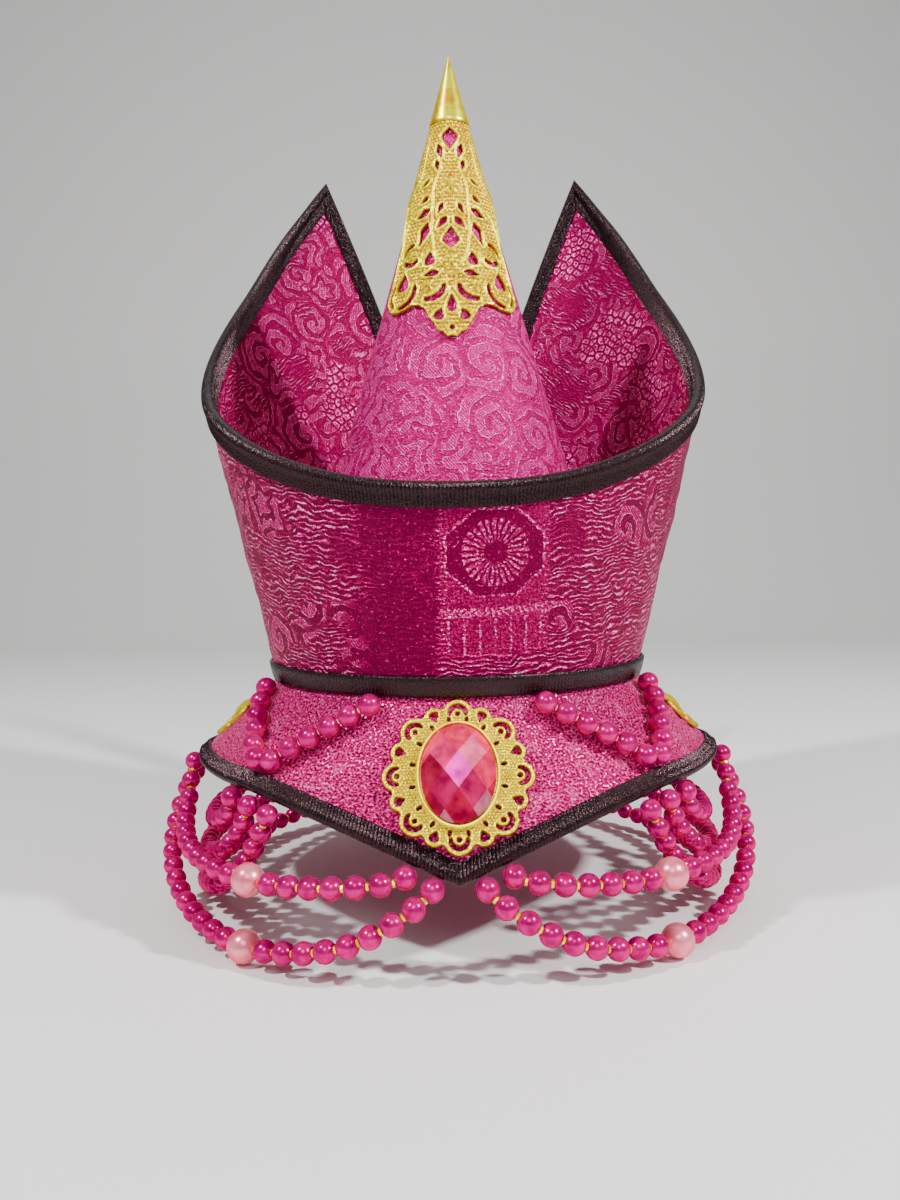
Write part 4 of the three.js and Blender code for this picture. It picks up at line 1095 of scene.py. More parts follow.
# %% Panel relief
CONE_BOSSES = [(0, 231, 9), (0, 193, 7), (17.7, 181.6, 6), (39.3, 197.4, 5.4)]
PANEL_CORDS = [
    [(15, 238.7), (23.5, 232.9), (24.3, 226.7), (21.8, 220.3), (21, 213.4), (20, 206.5), (17, 199.6),
     (11.7, 193.6), (6, 190.4), (0, 189.4)],
    [(24.4, 221.5), (44, 220), (55, 215.5), (56.5, 208), (55.5, 199), (49, 191.6), (37, 189.8), (28.4, 191.9),
     (27, 197.5)],
    [(28, 190.8), (16.8, 190.2), (8, 187.4), (0, 186)],
    [(49.4, 253.4), (49.2, 247.2), (47.5, 238.1), (58, 231.7), (75, 226.3)],
    [(3.4, 184.5), (3, 178.5)],
]
GRANULE_PITCH = 2.1
GRANULE_RAISE = 0.7
FIELD_LEVEL, CORD_TOP = 0.75, 1.9
CORD_HALF = 0.75
BLOSSOM_PETALS = 6
BLOSSOM_RAISE = 1.4
BUD_RAISE, BUD_SHARE = 0.6, 0.35
ROW_SHARE = 0.866


def granules(across, upward, pitch):
    """Small domes on a staggered lattice: 1 on top of each, falling as a parabola to 0 between them."""
    row = np.round(upward / (ROW_SHARE * pitch))
    step = across / pitch + 0.5 * (row % 2)
    off = np.hypot(step - np.round(step), upward / pitch - ROW_SHARE * row)
    return np.clip(1 - (off / 0.5) ** 2, 0, 1)


def rounded(path):
    """A path with its corners cut twice, at a quarter and at three quarters of every stretch."""
    for _ in range(2):
        behind, ahead = path[:-1], path[1:]
        cut = np.stack([0.75 * behind + 0.25 * ahead, 0.25 * behind + 0.75 * ahead], axis=1)
        path = np.concatenate([path[:1], cut.reshape(-1, 2), path[-1:]])
    return path


def cord_profile(off):
    """Half round of a cord: 1 on its middle line, falling to 0 at its half width."""
    return np.sqrt(np.clip(1 - (off / CORD_HALF) ** 2, 0, 1))


def panel_relief(azimuth, height, depth):
    """Cords along every edge and scroll, granules on the sunk field, and flowers with a bud on the bosses."""
    arc = np.radians(np.abs(azimuth)) * (cone_radius(height) + SHEET)
    cord = cord_profile(depth - CORD_HALF)
    for rows in PANEL_CORDS:
        azimuths, heights = np.array(rows).T
        path = np.stack([np.radians(azimuths) * (cone_radius(heights) + SHEET), heights], axis=1)
        cord = np.maximum(cord, cord_profile(path_distance(arc, height, rounded(path))))
    grain = GRANULE_RAISE * granules(arc, height, GRANULE_PITCH)
    top = FIELD_LEVEL + np.maximum(grain, (CORD_TOP - FIELD_LEVEL) * cord)
    for middle, level, width in CONE_BOSSES:
        across, upward = cone_local(azimuth, height, middle, level)
        reach = np.hypot(across, upward) / (width / 2)
        petals = 0.55 + 0.45 * np.cos(BLOSSOM_PETALS * np.arctan2(upward, across))
        bud = BUD_RAISE * np.clip(1 - (reach / BUD_SHARE) ** 2, 0, 1)
        blossom = np.clip(1.3 - reach**2, 0, 1) * petals + bud
        top = np.where((reach < 1.14) & (depth > 0), FIELD_LEVEL + BLOSSOM_RAISE * blossom, top)
    return top


# %% Cone panel
PANEL_BOTTOM, PANEL_MIDDLE = 155, 200
STEP_AROUND, STEP_UP = 0.8, 0.45
panel_sheet = pierced_sheet(
    np.arange(-COLLAR_REACH - 0.5, COLLAR_REACH + 0.6, STEP_AROUND),
    np.arange(PANEL_BOTTOM, TIP_BOTTOM + 1, STEP_UP),
    panel_metal,
    panel_relief,
    lambda azimuth, height, out: cone_point(azimuth, height, GAP + out),
    stretch=np.radians(1) * cone_radius(PANEL_MIDDLE),
)
make_lace("cone_panel_lace", "cone_filigree", panel_sheet)

# %% Gilt point
TIP_PROUD = 0.45
TIP_SIDES = 72
TIP_ROWS = 24
TIP_BLUNT = 0.985
LIP_DROP, LIP_INSET = 0.5, 0.35
tip_inner, tip_outer = GAP + TIP_PROUD, GAP + SHEET + TIP_PROUD
tip_share = np.linspace(0, TIP_BLUNT, TIP_ROWS)[:, None]
tip_azimuths = np.arange(TIP_SIDES) * 360 / TIP_SIDES


def tip_apex(out):
    """Height at which the cone with this stand-off comes to a point."""
    return CONE_HEIGHT + out / math.sin(CONE_LEAN)


up_heights = TIP_BOTTOM + (tip_apex(tip_outer) - TIP_BOTTOM) * tip_share
down_heights = TIP_BOTTOM + (tip_apex(tip_inner) - TIP_BOTTOM) * tip_share
tip_rows = np.concatenate([
    cone_point(tip_azimuths, up_heights[::-1] + 0 * tip_azimuths, tip_outer),
    cone_point(tip_azimuths, np.full((1, TIP_SIDES), TIP_BOTTOM - LIP_DROP), tip_outer - LIP_INSET),
    cone_point(tip_azimuths, down_heights + 0 * tip_azimuths, tip_inner),
])
tip_points = np.vstack([
    tip_rows.reshape(-1, 3), [[0, 0, tip_apex(tip_outer)], [0, 0, tip_apex(tip_inner)]]
])
make_piece("gilt_point", tip_points, pole_faces(len(tip_rows), TIP_SIDES), "gilt", [BRIGHT_GILT])

# %% Lace on the skirt
LAY_ROUNDS = 8
LAY_SHARE = 0.75
LOBE_STEPS = 14


def skirt_axes(azimuth, height, lift):
    """Origin and three axes of a flat place over the skirt: across, up the slope and out."""
    origin = skirt_point(azimuth, height, lift(height))
    up = skirt_point(azimuth, height + 1, lift(height + 1)) - origin
    up = up / np.linalg.norm(up)
    across = place(azimuth + 90, 1, 0)
    return origin, across, up, np.cross(across, up)


def over_skirt(azimuth, height, lift):
    """A function that lays flat (x, y) on the curved skirt, by stepping to the spot that lies over them."""
    origin, across, up, out = skirt_axes(azimuth, height, lift)

    def lay(x, y, rise):
        """Moves over the cloth until a point lies x across and y up from the origin, then rises from it."""
        turned, level = np.zeros_like(x), np.zeros_like(x)
        for _ in range(LAY_ROUNDS):
            here = skirt_point(azimuth + turned, height + level, lift(height + level)) - origin
            turned = turned + np.degrees((x - here @ across) / SKIRT_RADIUS)
            level = level + (y - here @ up) * LAY_SHARE
        return skirt_point(azimuth + turned, height + level, lift(height + level)) + rise[..., None] * out

    return lay


def lobed_outline(radius, lobe_height, lobes):
    """A circle edged with round lobes: a half circle's swell over each step of the angle."""
    t = np.arange(lobes * LOBE_STEPS) / LOBE_STEPS
    reach = radius + lobe_height * np.sqrt(1 - (2 * (t % 1) - 1) ** 2)
    angle = (t - 0.5) * TURN / lobes
    return np.stack([reach * np.sin(angle), reach * np.cos(angle)], axis=1)


def on_spoke(outline, angle, half_width, half_tall):
    """An outline turned to point along a spoke of the oval and moved out to its end."""
    turn = np.array([[math.cos(angle), -math.sin(angle)], [math.sin(angle), math.cos(angle)]])
    return outline @ turn + (half_width * math.sin(angle), half_tall * math.cos(angle))


def past_openings(x, y, openings):
    """Distance to the nearest of several openings."""
    return np.min([outside_distance(x, y, outline) for outline in openings], axis=0)


# %% Brooch lace
BROOCH_HEIGHT = -29.5
LOBE_COUNT = 16
LOBE_RADII = (6.2, 4.3)
LOBE_ENDS = ((30.6, 31.8), (29.2, 30.4))
PLATE_HALF = (27.2, 28.6)
STONE_HALF = (15, 20)
TRAY_WALL = 1.6
TRAY_HEIGHT = 4.4
LOWER_LIFT = 2.9
BLANK_BOTTOM = -62
LOBE_OPENINGS = ([("horseshoe", 6.6, 1.9, 0), ("round", 1.8, 1.8, 0)], [("drop", 4, 4.4, 180)])
SLOT = ("round", 1.2, 2.4, 0)
SLOT_OUT = 1.6
LACE_STEP = 0.38
BROOCH_REACH = (32, 33)
BAR_EDGE, BAR_TOP, BAR_REACH = 0.5, SHEET + 0.3, 0.7
FIELD_FADE, FIELD_SINK = 0.4, 0.75
BROOCH_GRANULE = 1.4


def brooch_lift(height):
    """The brooch lies flat on the skirt above and rests on its binding below."""
    return GAP + LOWER_LIFT * height / BLANK_BOTTOM


lay_brooch = over_skirt(0, BROOCH_HEIGHT, brooch_lift)
brooch_lobes, brooch_openings = [], []
for lobe in range(LOBE_COUNT):
    radius, ends = LOBE_RADII[lobe % 2], LOBE_ENDS[lobe % 2]
    angle = lobe * TURN / LOBE_COUNT
    middle = [end - radius for end in ends]
    brooch_lobes.append((middle[0] * math.sin(angle), middle[1] * math.cos(angle), radius))
    brooch_openings += [on_spoke(opening_outline(*row), angle, *middle) for row in LOBE_OPENINGS[lobe % 2]]
    beside_tray = [half + GAP + TRAY_WALL + SLOT_OUT for half in STONE_HALF]
    brooch_openings.append(on_spoke(opening_outline(*SLOT), angle + 0.5 * TURN / LOBE_COUNT, *beside_tray))


def brooch_metal(x, y):
    """Distance to the lace's nearest edge: an oval plate with round lobes joined to it, less its openings."""
    solid = (1 - np.hypot(x / PLATE_HALF[0], y / PLATE_HALF[1])) * PLATE_HALF[0]
    for across, upward, radius in brooch_lobes:
        solid = np.maximum(solid, radius - np.hypot(x - across, y - upward))
    return np.minimum(solid, past_openings(x, y, brooch_openings))


def brooch_relief(x, y, depth):
    """Puffed bars with a smooth rim round a field of granules."""
    field = np.clip((depth - BAR_REACH) / FIELD_FADE, 0, 1)
    sunk = FIELD_SINK * field * (1 - granules(x, y, BROOCH_GRANULE))
    return puffed(depth, BAR_EDGE, BAR_TOP, BAR_REACH) - sunk


brooch_grid = [np.arange(-reach, reach, LACE_STEP) for reach in BROOCH_REACH]
make_lace(
    "brooch_lace", "brooch_filigree", pierced_sheet(*brooch_grid, brooch_metal, brooch_relief, lay_brooch)
)

# %% Brooch tray
TRAY_SIDES = 96
# Distance out from the stone's room and height above the lace, round the tray's section
tray_profile = np.array([
    [TRAY_WALL, -0.5], [TRAY_WALL, 3], [1.45, 3.9], [1, TRAY_HEIGHT], [0.5, TRAY_HEIGHT], [0.12, 3.9],
    [0, 3], [0, 1.5], [-6, 1.5], [-6, -0.5],
])
tray_angles = np.linspace(0, TURN, TRAY_SIDES, endpoint=False)
origin, across, up, out = skirt_axes(0, BROOCH_HEIGHT, brooch_lift)
tray_x = (STONE_HALF[0] + GAP + tray_profile[:, :1]) * np.sin(tray_angles)
tray_y = (STONE_HALF[1] + GAP + tray_profile[:, :1]) * np.cos(tray_angles)
tray_z = tray_profile[:, 1:] + 0 * tray_angles
tray_points = origin + tray_x[..., None] * across + tray_y[..., None] * up + tray_z[..., None] * out
make_ring("brooch_tray", tray_points, "gilt", BRIGHT_GILT)

# %% [markdown]
# ## Oval stone
# The stone is moulded glass with a checkerboard crown: lozenge facets that all touch one dome. A plane
# that touches the dome z = top - drop (x^2 + y^2) at a lattice point cuts exactly one lozenge, so the block
# is cut by those planes one after another. Each facet is given its own tone as painted reflection and shade.

# %% Stone material
REFLECTION_CLOUD = 6 * MM


def stone_material(name):
    """Foiled glass: polished surface over each facet's tone of painted reflection and shade, clouded within
    each facet.
    """
    material, tree = new_material(name)
    facet = add_node(tree, "Attribute", out="Color", attribute_name="facet_tone")
    spot = add_node(tree, "TexCoord", out="Object")
    # Painted reflection: each facet's tone is clouded brighter and darker.
    cloud = noise(tree, spot, REFLECTION_CLOUD, 2)
    share = ramp(tree, cloud, 0.35, 0.7, 0.6, 1.5)
    tone = add_node(tree, "VectorMath", {0: facet, "Scale": share}, operation="SCALE")
    shade(tree, {
        "Base Color": tone, "Roughness": 0.15, "Metallic": 0.2, "Specular Tint": linear("#FF78B4"),
        "Specular IOR Level": 0.2, "Coat Weight": 0.05, "Coat Roughness": 0.05,
    })
    return material


# %% Stone cut
STONE_TOP = TRAY_HEIGHT + 5
STONE_GIRDLE = TRAY_HEIGHT - 0.6
STONE_BASE = TRAY_HEIGHT - 2.7
LOZENGE_SHARE = 0.37
LATTICE_REACH = 1.2
LATTICE_STEPS = range(-4, 5)
block = bmesh.new()
rim = [block.verts.new((math.sin(a), math.cos(a), STONE_TOP)) for a in tray_angles]
foot = [block.verts.new((math.sin(a), math.cos(a), STONE_BASE)) for a in tray_angles]
block.faces.new(rim[::-1])
block.faces.new(foot)
for here in range(len(rim)):
    block.faces.new((rim[here - 1], rim[here], foot[here], foot[here - 1]))
drop = STONE_TOP - STONE_GIRDLE
steps = [(i, j) for i in LATTICE_STEPS for j in LATTICE_STEPS if (i + j) % 2 == 0]
for x, y in LOZENGE_SHARE * np.array(steps):
    if math.hypot(x, y) > LATTICE_REACH:
        continue
    normal = np.array([2 * drop * x, 2 * drop * y, 1])
    touch = (x, y, STONE_TOP - drop * (x * x + y * y))
    parts = [*block.verts, *block.edges, *block.faces]
    cut = bmesh.ops.bisect_plane(block, geom=parts, plane_co=touch, plane_no=normal, clear_outer=True)
    edges = [part for part in cut["geom_cut"] if isinstance(part, bmesh.types.BMEdge)]
    if edges:
        bmesh.ops.contextual_create(block, geom=edges)
block.normal_update()
block.verts.index_update()
unit = np.array([vertex.co for vertex in block.verts])
stone_points = origin + (unit * (*STONE_HALF, 1)) @ np.stack([across, up, out])
stone_faces = [np.array([[vertex.index for vertex in face.verts]]) for face in block.faces]
block.free()
stone = make_piece(
    "brooch_stone_cut", stone_points, stone_faces, "stone", [stone_material("foiled_glass")],
    ["brooch_stone"], smooth=False,
)

# %% Tone of each facet
# Painted reflection and shade of each facet: violet in the middle, darker on the lower facets, brighter or
# darker at random, and a few pale ones as painted highlights.
FACET_LIGHT_TONES = {"middle": "#C80092", "upper": "#DC2050", "lower": "#8A0028", "pale": "#FF9CC0"}
MIDDLE_SPREAD = 0.16
BRIGHTNESS = (0.65, 1.4)
HIGHLIGHT_SHARE, HIGHLIGHT_CHANCE = 0.28, 0.2
facet_x, facet_y = np.array([unit[face[0], :2].mean(axis=0) for face in stone_faces]).T
random = np.random.default_rng(23)
middle_share = np.exp(-(facet_x**2 + facet_y**2) / MIDDLE_SPREAD)[:, None]
shaded_lower_share = np.clip(0.5 - 0.9 * facet_y, 0, 1)[:, None]
facet_light_tones = {name: np.array(linear(colour)) for name, colour in FACET_LIGHT_TONES.items()}
facet_tone = shaded_lower_share * facet_light_tones["lower"] + (1 - shaded_lower_share) * facet_light_tones["upper"]
facet_tone = middle_share * facet_light_tones["middle"] + (1 - middle_share) * facet_tone
facet_tone *= random.uniform(*BRIGHTNESS, len(facet_tone))[:, None]
highlight_share = HIGHLIGHT_SHARE * (random.uniform(size=len(facet_tone)) < HIGHLIGHT_CHANCE)[:, None]
facet_tone = highlight_share * facet_light_tones["pale"] + (1 - highlight_share) * facet_tone
tone_layer = stone.data.attributes.new("facet_tone", "FLOAT_COLOR", "FACE")
tone_layer.data.foreach_set("color", np.clip(facet_tone, 0, 1).ravel())
print("stone facets:", len(stone_faces))

# %% [markdown]
# ## Side rosettes
# A small round stamping sits on each side of the skirt, seen only edge-on from the front. It is made in
# the same way as the brooch, with eight petals round a domed middle.

# %% Rosettes
ROSETTE_HEIGHT = -17.2
ROSETTE_RADIUS = 16.4
ROSETTE_LOBES = 8
ROSETTE_LOBE_HEIGHT = 2
ROSETTE_REACH = 20
PETAL = ("drop", 5.2, 7.6, 180)
PETAL_AT = 0.68 * ROSETTE_RADIUS
BOSS_RADIUS = 5.5
BOSS_HEIGHT = 2.6
BOSS_RIBS, BOSS_RIB = 16, 0.08
rosette_outline = lobed_outline(ROSETTE_RADIUS, ROSETTE_LOBE_HEIGHT, ROSETTE_LOBES)
rosette_openings = [
    on_spoke(opening_outline(*PETAL), lobe * TURN / ROSETTE_LOBES, PETAL_AT, PETAL_AT)
    for lobe in range(ROSETTE_LOBES)
]


def rosette_metal(x, y):
    """Distance to the rosette's nearest edge: its lobed outline or a petal's opening."""
    return np.minimum(-outside_distance(x, y, rosette_outline), past_openings(x, y, rosette_openings))


def rosette_relief(x, y, depth):
    """Puffed bars and a ribbed dome in the middle."""
    reach = np.hypot(x, y) / BOSS_RADIUS
    dome = np.sqrt(np.clip(1 - reach**2, 0, 1)) * (1 + BOSS_RIB * np.cos(BOSS_RIBS * np.arctan2(y, x)))
    return np.maximum(puffed(depth, 0.6, SHEET, 0.9), SHEET / 2 + (BOSS_HEIGHT - SHEET / 2) * dome)


rosette_grid = np.arange(-ROSETTE_REACH, ROSETTE_REACH, LACE_STEP)
for side, middle in (("right", 90), ("left", 270)):
    lay = over_skirt(middle, ROSETTE_HEIGHT, lambda height: GAP + 0 * height)
    rosette_sheet = pierced_sheet(rosette_grid, rosette_grid, rosette_metal, rosette_relief, lay)
    make_lace(f"side_rosette_{side}", f"side_filigree_{side}", rosette_sheet)

# %% [markdown]
# ## Bead strings
# Deep pink pearlised beads hang in swags from the skirt's edge, with a small gold seed between each two and
# one pale pearl on each front string. Every bead is the same small ball, set along a smooth path through
# the string's rows, and each string is one joined mesh.

# %% Bead materials
BEAD_CLOUD = 4 * MM


def pearly(name, deep, light, tint, roughness):
    """Moulded bead with a pearl coat: one strong tone, softly clouded, under a thin gloss."""
    material, tree = new_material(name)
    spot = add_node(tree, "TexCoord", out="Object")
    cloud = noise(tree, spot, BEAD_CLOUD, 1)
    share = ramp(tree, cloud, 0.3, 0.75)
    tone = blend(tree, share, linear(deep), linear(light))
    shade(tree, {
        "Base Color": tone, "Roughness": roughness, "Metallic": 0.55, "Specular Tint": linear(tint),
        "Specular IOR Level": 0.05, "Coat Weight": 0.035, "Coat Roughness": 0.04,
    })
    return material


PINK_PEARL = pearly("pearl_coated_pink_bead", "#AC0062", "#E80086", "#FF1088", 0.2)
PALE_PEARL = pearly("pearl_coated_pale_bead", "#FF6C88", "#FFA0B0", "#FFB8C4", 0.3)
CLEAR_SEED = pearly("clear_glass_seed", "#E3A9C4", "#F6DCE8", "#FFE6EE", 0.12)
print("beads:", PINK_PEARL.name, PALE_PEARL.name, CLEAR_SEED.name)

# %% String paths
BEAD_DIAMETER = 9.6
TAIL_DIAMETER = 9.2
PEARL_DIAMETER = 14
BEAD_SPACING = 0.3
THREAD_RADIUS = 0.9
# Azimuth, height and lift of the string that lies on the skirt
UPPER_ROWS = [
    (19.9, -3, 0), (27.1, -10.1, 0), (36, -19.7, 0), (40.1, -24.5, 0), (43.6, -29.9, 0.6), (49.6, -28.5, 0.6),
    (52.2, -22.9, 0), (59.7, -13.9, 0), (68.2, -2.4, 0),
]
# Azimuth, radius and height along the strings that hang
FRONT_UPPER_ROWS = [
    (17, 127.2, -67.2), (26, 128.6, -69.6), (38, 130, -71.4), (52, 131.6, -71.6), (65, 132.4, -70.6),
    (76, 132.4, -66.4), (85, 132.4, -58),
]
FRONT_LOWER_ROWS = [
    (10.6, 129.4, -78.6), (18.5, 131.6, -88.6), (28, 132.6, -94.6), (40, 133.4, -97.8), (52, 134.4, -96.6),
    (64, 136, -92.6), (76, 138.6, -84), (86, 139.6, -71), (93, 137, -56),
]
BACK_LOWER_ROWS = [
    (43.6, 121, -58), (48.5, 121, -70), (55.5, 120.8, -80.5), (66, 121.4, -90), (82, 124, -96.6),
    (104, 129, -99), (128, 132, -96.6), (152, 131, -88), (168, 128, -78),
]
BACK_UPPER_ROWS = [
    (49.8, 120.4, -55.6), (55.2, 120.4, -65), (63, 120.8, -73), (76, 122, -79.6), (96, 125.6, -82),
    (120, 129, -80), (145, 128, -75.4), (162, 126, -71),
]
SIDE_ROWS = [
    (56.6, 120, -53.4), (64, 119.4, -59.6), (76, 119, -63.4), (90, 119, -64.6), (104, 119, -63.4),
    (116, 119.4, -59.6), (123.4, 120, -53.4),
]

# %% String helpers
LEAVE_LENGTH = 5
SLOPE_ROOM = 1.2
PATH_STEPS = 40


def string_path(points):
    """Fine points and lengths of a centripetal Catmull-Rom curve: its slopes weigh near points more."""
    ends = np.vstack([2 * points[0] - points[1], points, 2 * points[-1] - points[-2]])
    gaps = np.linalg.norm(np.diff(ends, axis=0), axis=1, keepdims=True) ** 0.5
    p0, p1, p2, p3 = (ends[k:len(ends) - 3 + k] for k in range(4))
    d0, d1, d2 = (gaps[k:len(gaps) - 2 + k] for k in range(3))
    leave = d1 * ((p1 - p0) / d0 - (p2 - p0) / (d0 + d1) + (p2 - p1) / d1)
    arrive = d1 * ((p2 - p1) / d1 - (p3 - p1) / (d1 + d2) + (p3 - p2) / d2)
    t = np.linspace(0, 1, PATH_STEPS, endpoint=False)[None, :, None]
    fine = hermite(t, p1[:, None], leave[:, None], p2[:, None], arrive[:, None])
    fine = np.vstack([fine.reshape(-1, 3), points[-1]])
    length = np.concatenate([[0], np.cumsum(np.linalg.norm(np.diff(fine, axis=0), axis=1))])
    return fine, length


def hanging_points(start, end, rows, end_radius):
    """Way points of a hanging string: out of the binding, along its rows and back to the binding."""
    def leave(azimuth, beyond):
        """A point that far below the bound edge, with more room where the edge slopes."""
        radius, height = skirt_edge(azimuth)
        slope = abs(skirt_edge(azimuth + 1)[1] - height) / (math.radians(1) * radius)
        clear = BINDING_LIP + 2 * GAP + SLOPE_ROOM * end_radius * slope
        return skirt_point(azimuth, height, -CLOTH / 2, clear + beyond)

    middle = [place(*row) for row in rows]
    return np.array([
        leave(start, 0), leave(start, LEAVE_LENGTH), *middle, leave(end, LEAVE_LENGTH), leave(end, 0)
    ])


def fill_string(length, lead):
    """Middles and diameters of the leading beads, then of as many plain ones as fill the string evenly."""
    lead = np.array(lead, float)
    rest = length - (lead + BEAD_SPACING).sum()
    count = int(rest / (TAIL_DIAMETER + BEAD_SPACING))
    room = np.concatenate([lead + BEAD_SPACING, np.full(count, rest / max(count, 1))])
    diameters = np.concatenate([lead, np.full(count, TAIL_DIAMETER)])
    return np.cumsum(room) - room / 2, np.cumsum(room)[:-1], diameters


# %% Bead shapes
BALL_SIDES = 16
BALL_ROWS = 9
SEED_SIDES = 8
SEED_HALF = 0.55
SEED_ROWS = [(SEED_HALF, 0.75), (0.3, 1), (-0.3, 1), (-SEED_HALF, 0.75)]
GOLD_SEED_RADIUS, CLEAR_SEED_RADIUS = 1.7, 1.3
NEAR = 0.2
NO_STRING_WAY = (0.31, 0.17, 0.94)


def turned_shape(heights, radii, end, sides):
    """Points and faces of a profile turned about its axis: rings of (r cos a, r sin a, h) and two poles."""
    angle = np.arange(sides) * TURN / sides
    radii, heights = radii[:, None], heights[:, None]
    rings = np.broadcast_arrays(radii * np.cos(angle), radii * np.sin(angle), heights)
    points = np.vstack([np.stack(rings, axis=-1).reshape(-1, 3), [[0, 0, end], [0, 0, -end]]])
    return points, pole_faces(len(heights), sides)


ball_turn = np.radians(np.linspace(0, 180, BALL_ROWS + 2)[1:-1])
ball = turned_shape(np.cos(ball_turn), np.sin(ball_turn), 1, BALL_SIDES)
seed = turned_shape(*np.array(SEED_ROWS).T, SEED_HALF, SEED_SIDES)


def copies(faces, count, stride):
    """The same faces for several copies of a shape, each with its own stretch of points."""
    return (faces[None] + stride * np.arange(count)[:, None, None]).reshape(-1, faces.shape[1])


def threaded(shape, path, at, radii):
    """Copies of a small shape along a path, each with its own axis turned along the thread."""
    form, faces = shape
    fine, length = path
    middles, ahead, behind = (
        np.stack([np.interp(spots, length, coordinate) for coordinate in fine.T], axis=1)
        for spots in (at, at + NEAR, at - NEAR)
    )
    along = (ahead - behind) / np.linalg.norm(ahead - behind, axis=1, keepdims=True)
    side = np.cross(along, NO_STRING_WAY)
    side /= np.linalg.norm(side, axis=1, keepdims=True)
    axes = np.stack([side, np.cross(along, side), along], axis=1)
    sizes = np.broadcast_to(radii, at.shape)[:, None, None]
    points = middles[:, None] + np.einsum("pk,nkc->npc", form, axes) * sizes
    return points.reshape(-1, 3), [copies(kind, len(at), len(form)) for kind in faces]


# %% Strings of beads
FRONT_LEAD = {"front_string_upper": 7, "front_string_lower": 9}
PLAIN_END = TAIL_DIAMETER / 2
STRINGS = {
    "front_string_upper": hanging_points(9.9, 90, FRONT_UPPER_ROWS, THREAD_RADIUS),
    "front_string_lower": hanging_points(4.9, 96.6, FRONT_LOWER_ROWS, THREAD_RADIUS),
    "back_string_lower": hanging_points(40.2, 176.4, BACK_LOWER_ROWS, PLAIN_END),
    "back_string_upper": hanging_points(46.2, 171, BACK_UPPER_ROWS, PLAIN_END),
    "side_string": hanging_points(52.4, 127.6, SIDE_ROWS, PLAIN_END),
    "upper_string": np.array([
        skirt_point(azimuth, height, BEAD_DIAMETER / 2 + GAP + lift) for azimuth, height, lift in UPPER_ROWS
    ]),
}
UPPER_BEADS = 12
MIRRORS = {"right": np.array([1, 1, 1]), "left": np.array([-1, 1, 1])}
pearls, gold_seeds, clear_seeds = [], [], []
for string, right_points in STRINGS.items():
    for side, mirror in MIRRORS.items():
        path = string_path(right_points * mirror)
        whole = path[1][-1]
        name = f"{string}_{side}"
        if string == "upper_string":
            room = whole / UPPER_BEADS
            at = (np.arange(UPPER_BEADS) + 0.5) * room
            between = np.arange(1, UPPER_BEADS) * room
            diameters = np.full(UPPER_BEADS, BEAD_DIAMETER)
            clear_seeds.append(threaded(seed, path, between, CLEAR_SEED_RADIUS))
        else:
            before = FRONT_LEAD.get(string)
            lead = [BEAD_DIAMETER] * before + [PEARL_DIAMETER, BEAD_DIAMETER] if before else []
            at, between, diameters = fill_string(whole, lead)
            gold_seeds.append(threaded(seed, path, between, GOLD_SEED_RADIUS))
        pale = diameters == PEARL_DIAMETER
        if pale.any():
            pearls.append(threaded(ball, path, at[pale], diameters[pale] / 2))
        points, faces = threaded(ball, path, at[~pale], diameters[~pale] / 2)
        make_piece(f"{name}_beads", points, faces, "bead", [PINK_PEARL], [name])


def joined(parts):
    """Several point and face sets as one, with the faces renumbered."""
    starts = np.cumsum([0] + [len(points) for points, _ in parts])
    points = np.vstack([points for points, _ in parts])
    kinds = range(len(parts[0][1]))
    faces = [np.vstack([faces[kind] + start for (_, faces), start in zip(parts, starts)]) for kind in kinds]
    return points, faces


make_piece("pale_pearls", *joined(pearls), "bead", [PALE_PEARL])
make_piece("gold_seeds", *joined(gold_seeds), "gilt", [BRIGHT_GILT])
make_piece("clear_seeds", *joined(clear_seeds), "bead", [CLEAR_SEED])

# %% [markdown]
# ## Studio
# The hat is shown over a pale floor that curves up into a backdrop, under two small lights high in
# front, one on each side, so that the cone and the strings throw clear shadows as in the photograph.

# %% Floor
FLOOR_HALF_WIDTH = 4
BACKDROP_AT = 1.2
BEND_RADIUS = 0.7
BACKDROP_TOP = 3
BEND_STEPS = 24
FLOOR_GAP = 0.001
floor_height = cad_low.z - FLOOR_GAP


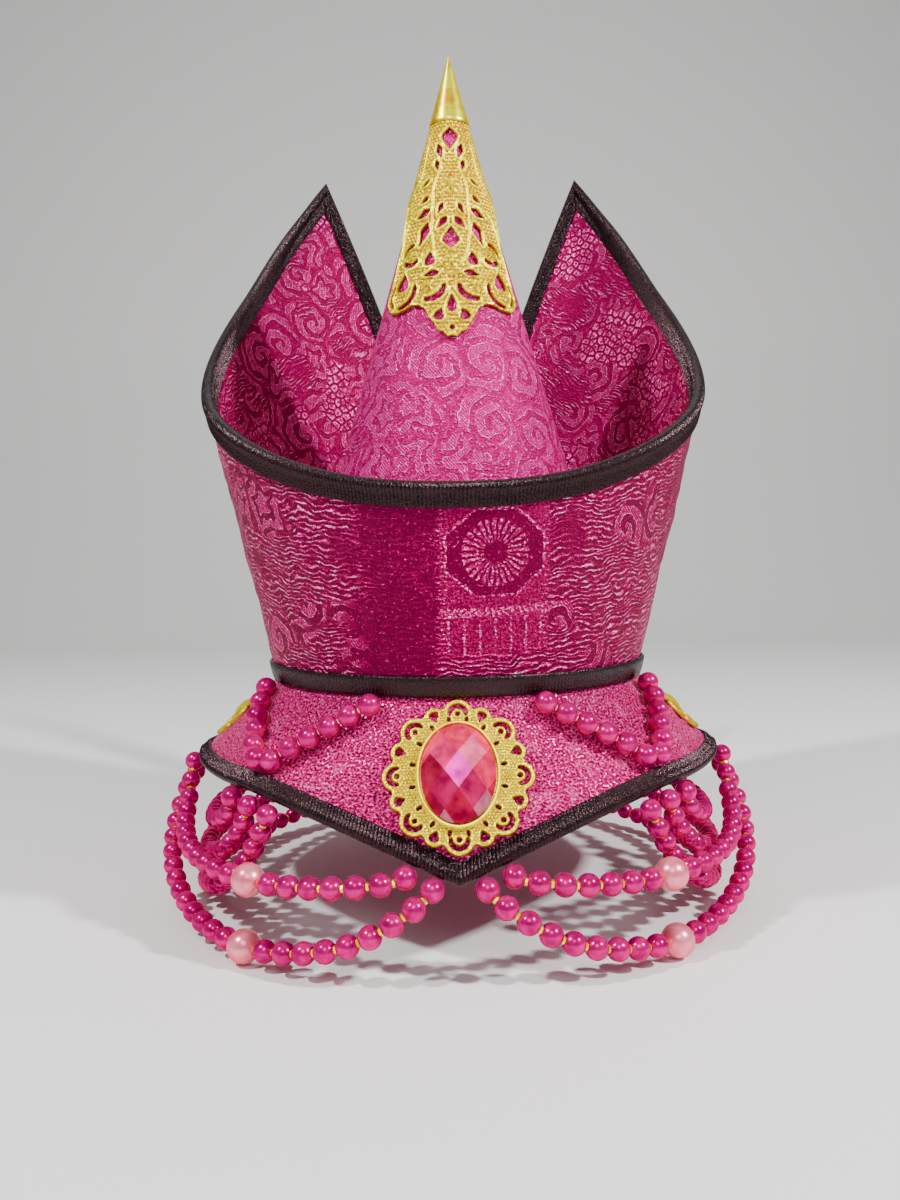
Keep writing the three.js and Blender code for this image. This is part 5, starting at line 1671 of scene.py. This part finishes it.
def studio_floor():
    """A plain sheet: flat, a quarter round of the bend's radius, then upright."""
    bend = np.radians(np.linspace(0, 90, BEND_STEPS))
    along = BACKDROP_AT + BEND_RADIUS * np.concatenate([np.sin(bend), [1]])
    along = np.concatenate([[-FLOOR_HALF_WIDTH], along])
    level = np.concatenate([[0], BEND_RADIUS * (1 - np.cos(bend)), [BACKDROP_TOP]]) + floor_height
    sides = np.array([-FLOOR_HALF_WIDTH, FLOOR_HALF_WIDTH])[:, None]
    points = np.stack(np.broadcast_arrays(sides, along, level), axis=-1)
    mesh = bpy.data.meshes.new("studio_floor")
    mesh.from_pydata(points.reshape(-1, 3).tolist(), [], grid_faces(2, len(along))[:, ::-1].tolist())
    mesh.polygons.foreach_set("use_smooth", np.full(len(mesh.polygons), True))
    material, tree = new_material("matt_paper")
    shade(tree, {"Base Color": linear("#EFEDEB"), "Roughness": 0.9})
    mesh.materials.append(material)
    floor = bpy.data.objects.new("studio_floor", mesh)
    bpy.context.scene.collection.objects.link(floor)


studio_floor()
print("floor at", round(floor_height / MM, 1), "mm")

# %% Lights
LIGHT_AIM = np.array([0, 0, 0.08])
WORLD_STRENGTH = 0.25
# Name, place in m, width in m and power in W
LIGHTS = [
    ("key_right", (0.95, -0.52, 0.88), 0.08, 25),
    ("key_left", (-0.88, -0.55, 1.25), 0.08, 25),
    ("front_fill", (0.0, -1.20, 1.00), 0.60, 7),
    ("top_fill", (0.0, 0.55, 1.25), 0.80, 2),
]
for name, spot, size, power in LIGHTS:
    lamp_data = bpy.data.lights.new(name, "AREA")
    lamp_data.size = size
    lamp_data.energy = power
    lamp = bpy.data.objects.new(name, lamp_data)
    backward = (spot - LIGHT_AIM) / np.linalg.norm(spot - LIGHT_AIM)
    rightward = np.cross((0, 0, 1), backward)
    rightward /= np.linalg.norm(rightward)
    turned = np.stack([rightward, np.cross(backward, rightward), backward], axis=1)
    lamp.matrix_world = Matrix.Translation(spot) @ Matrix(turned.tolist()).to_4x4()
    bpy.context.scene.collection.objects.link(lamp)
world = bpy.data.worlds.new("pale_studio")
world.use_nodes = True
world.node_tree.nodes["Background"].inputs["Color"].default_value = linear("#E6E8EC")
world.node_tree.nodes["Background"].inputs["Strength"].default_value = WORLD_STRENGTH
bpy.context.scene.world = world
print(len(LIGHTS), "lights")
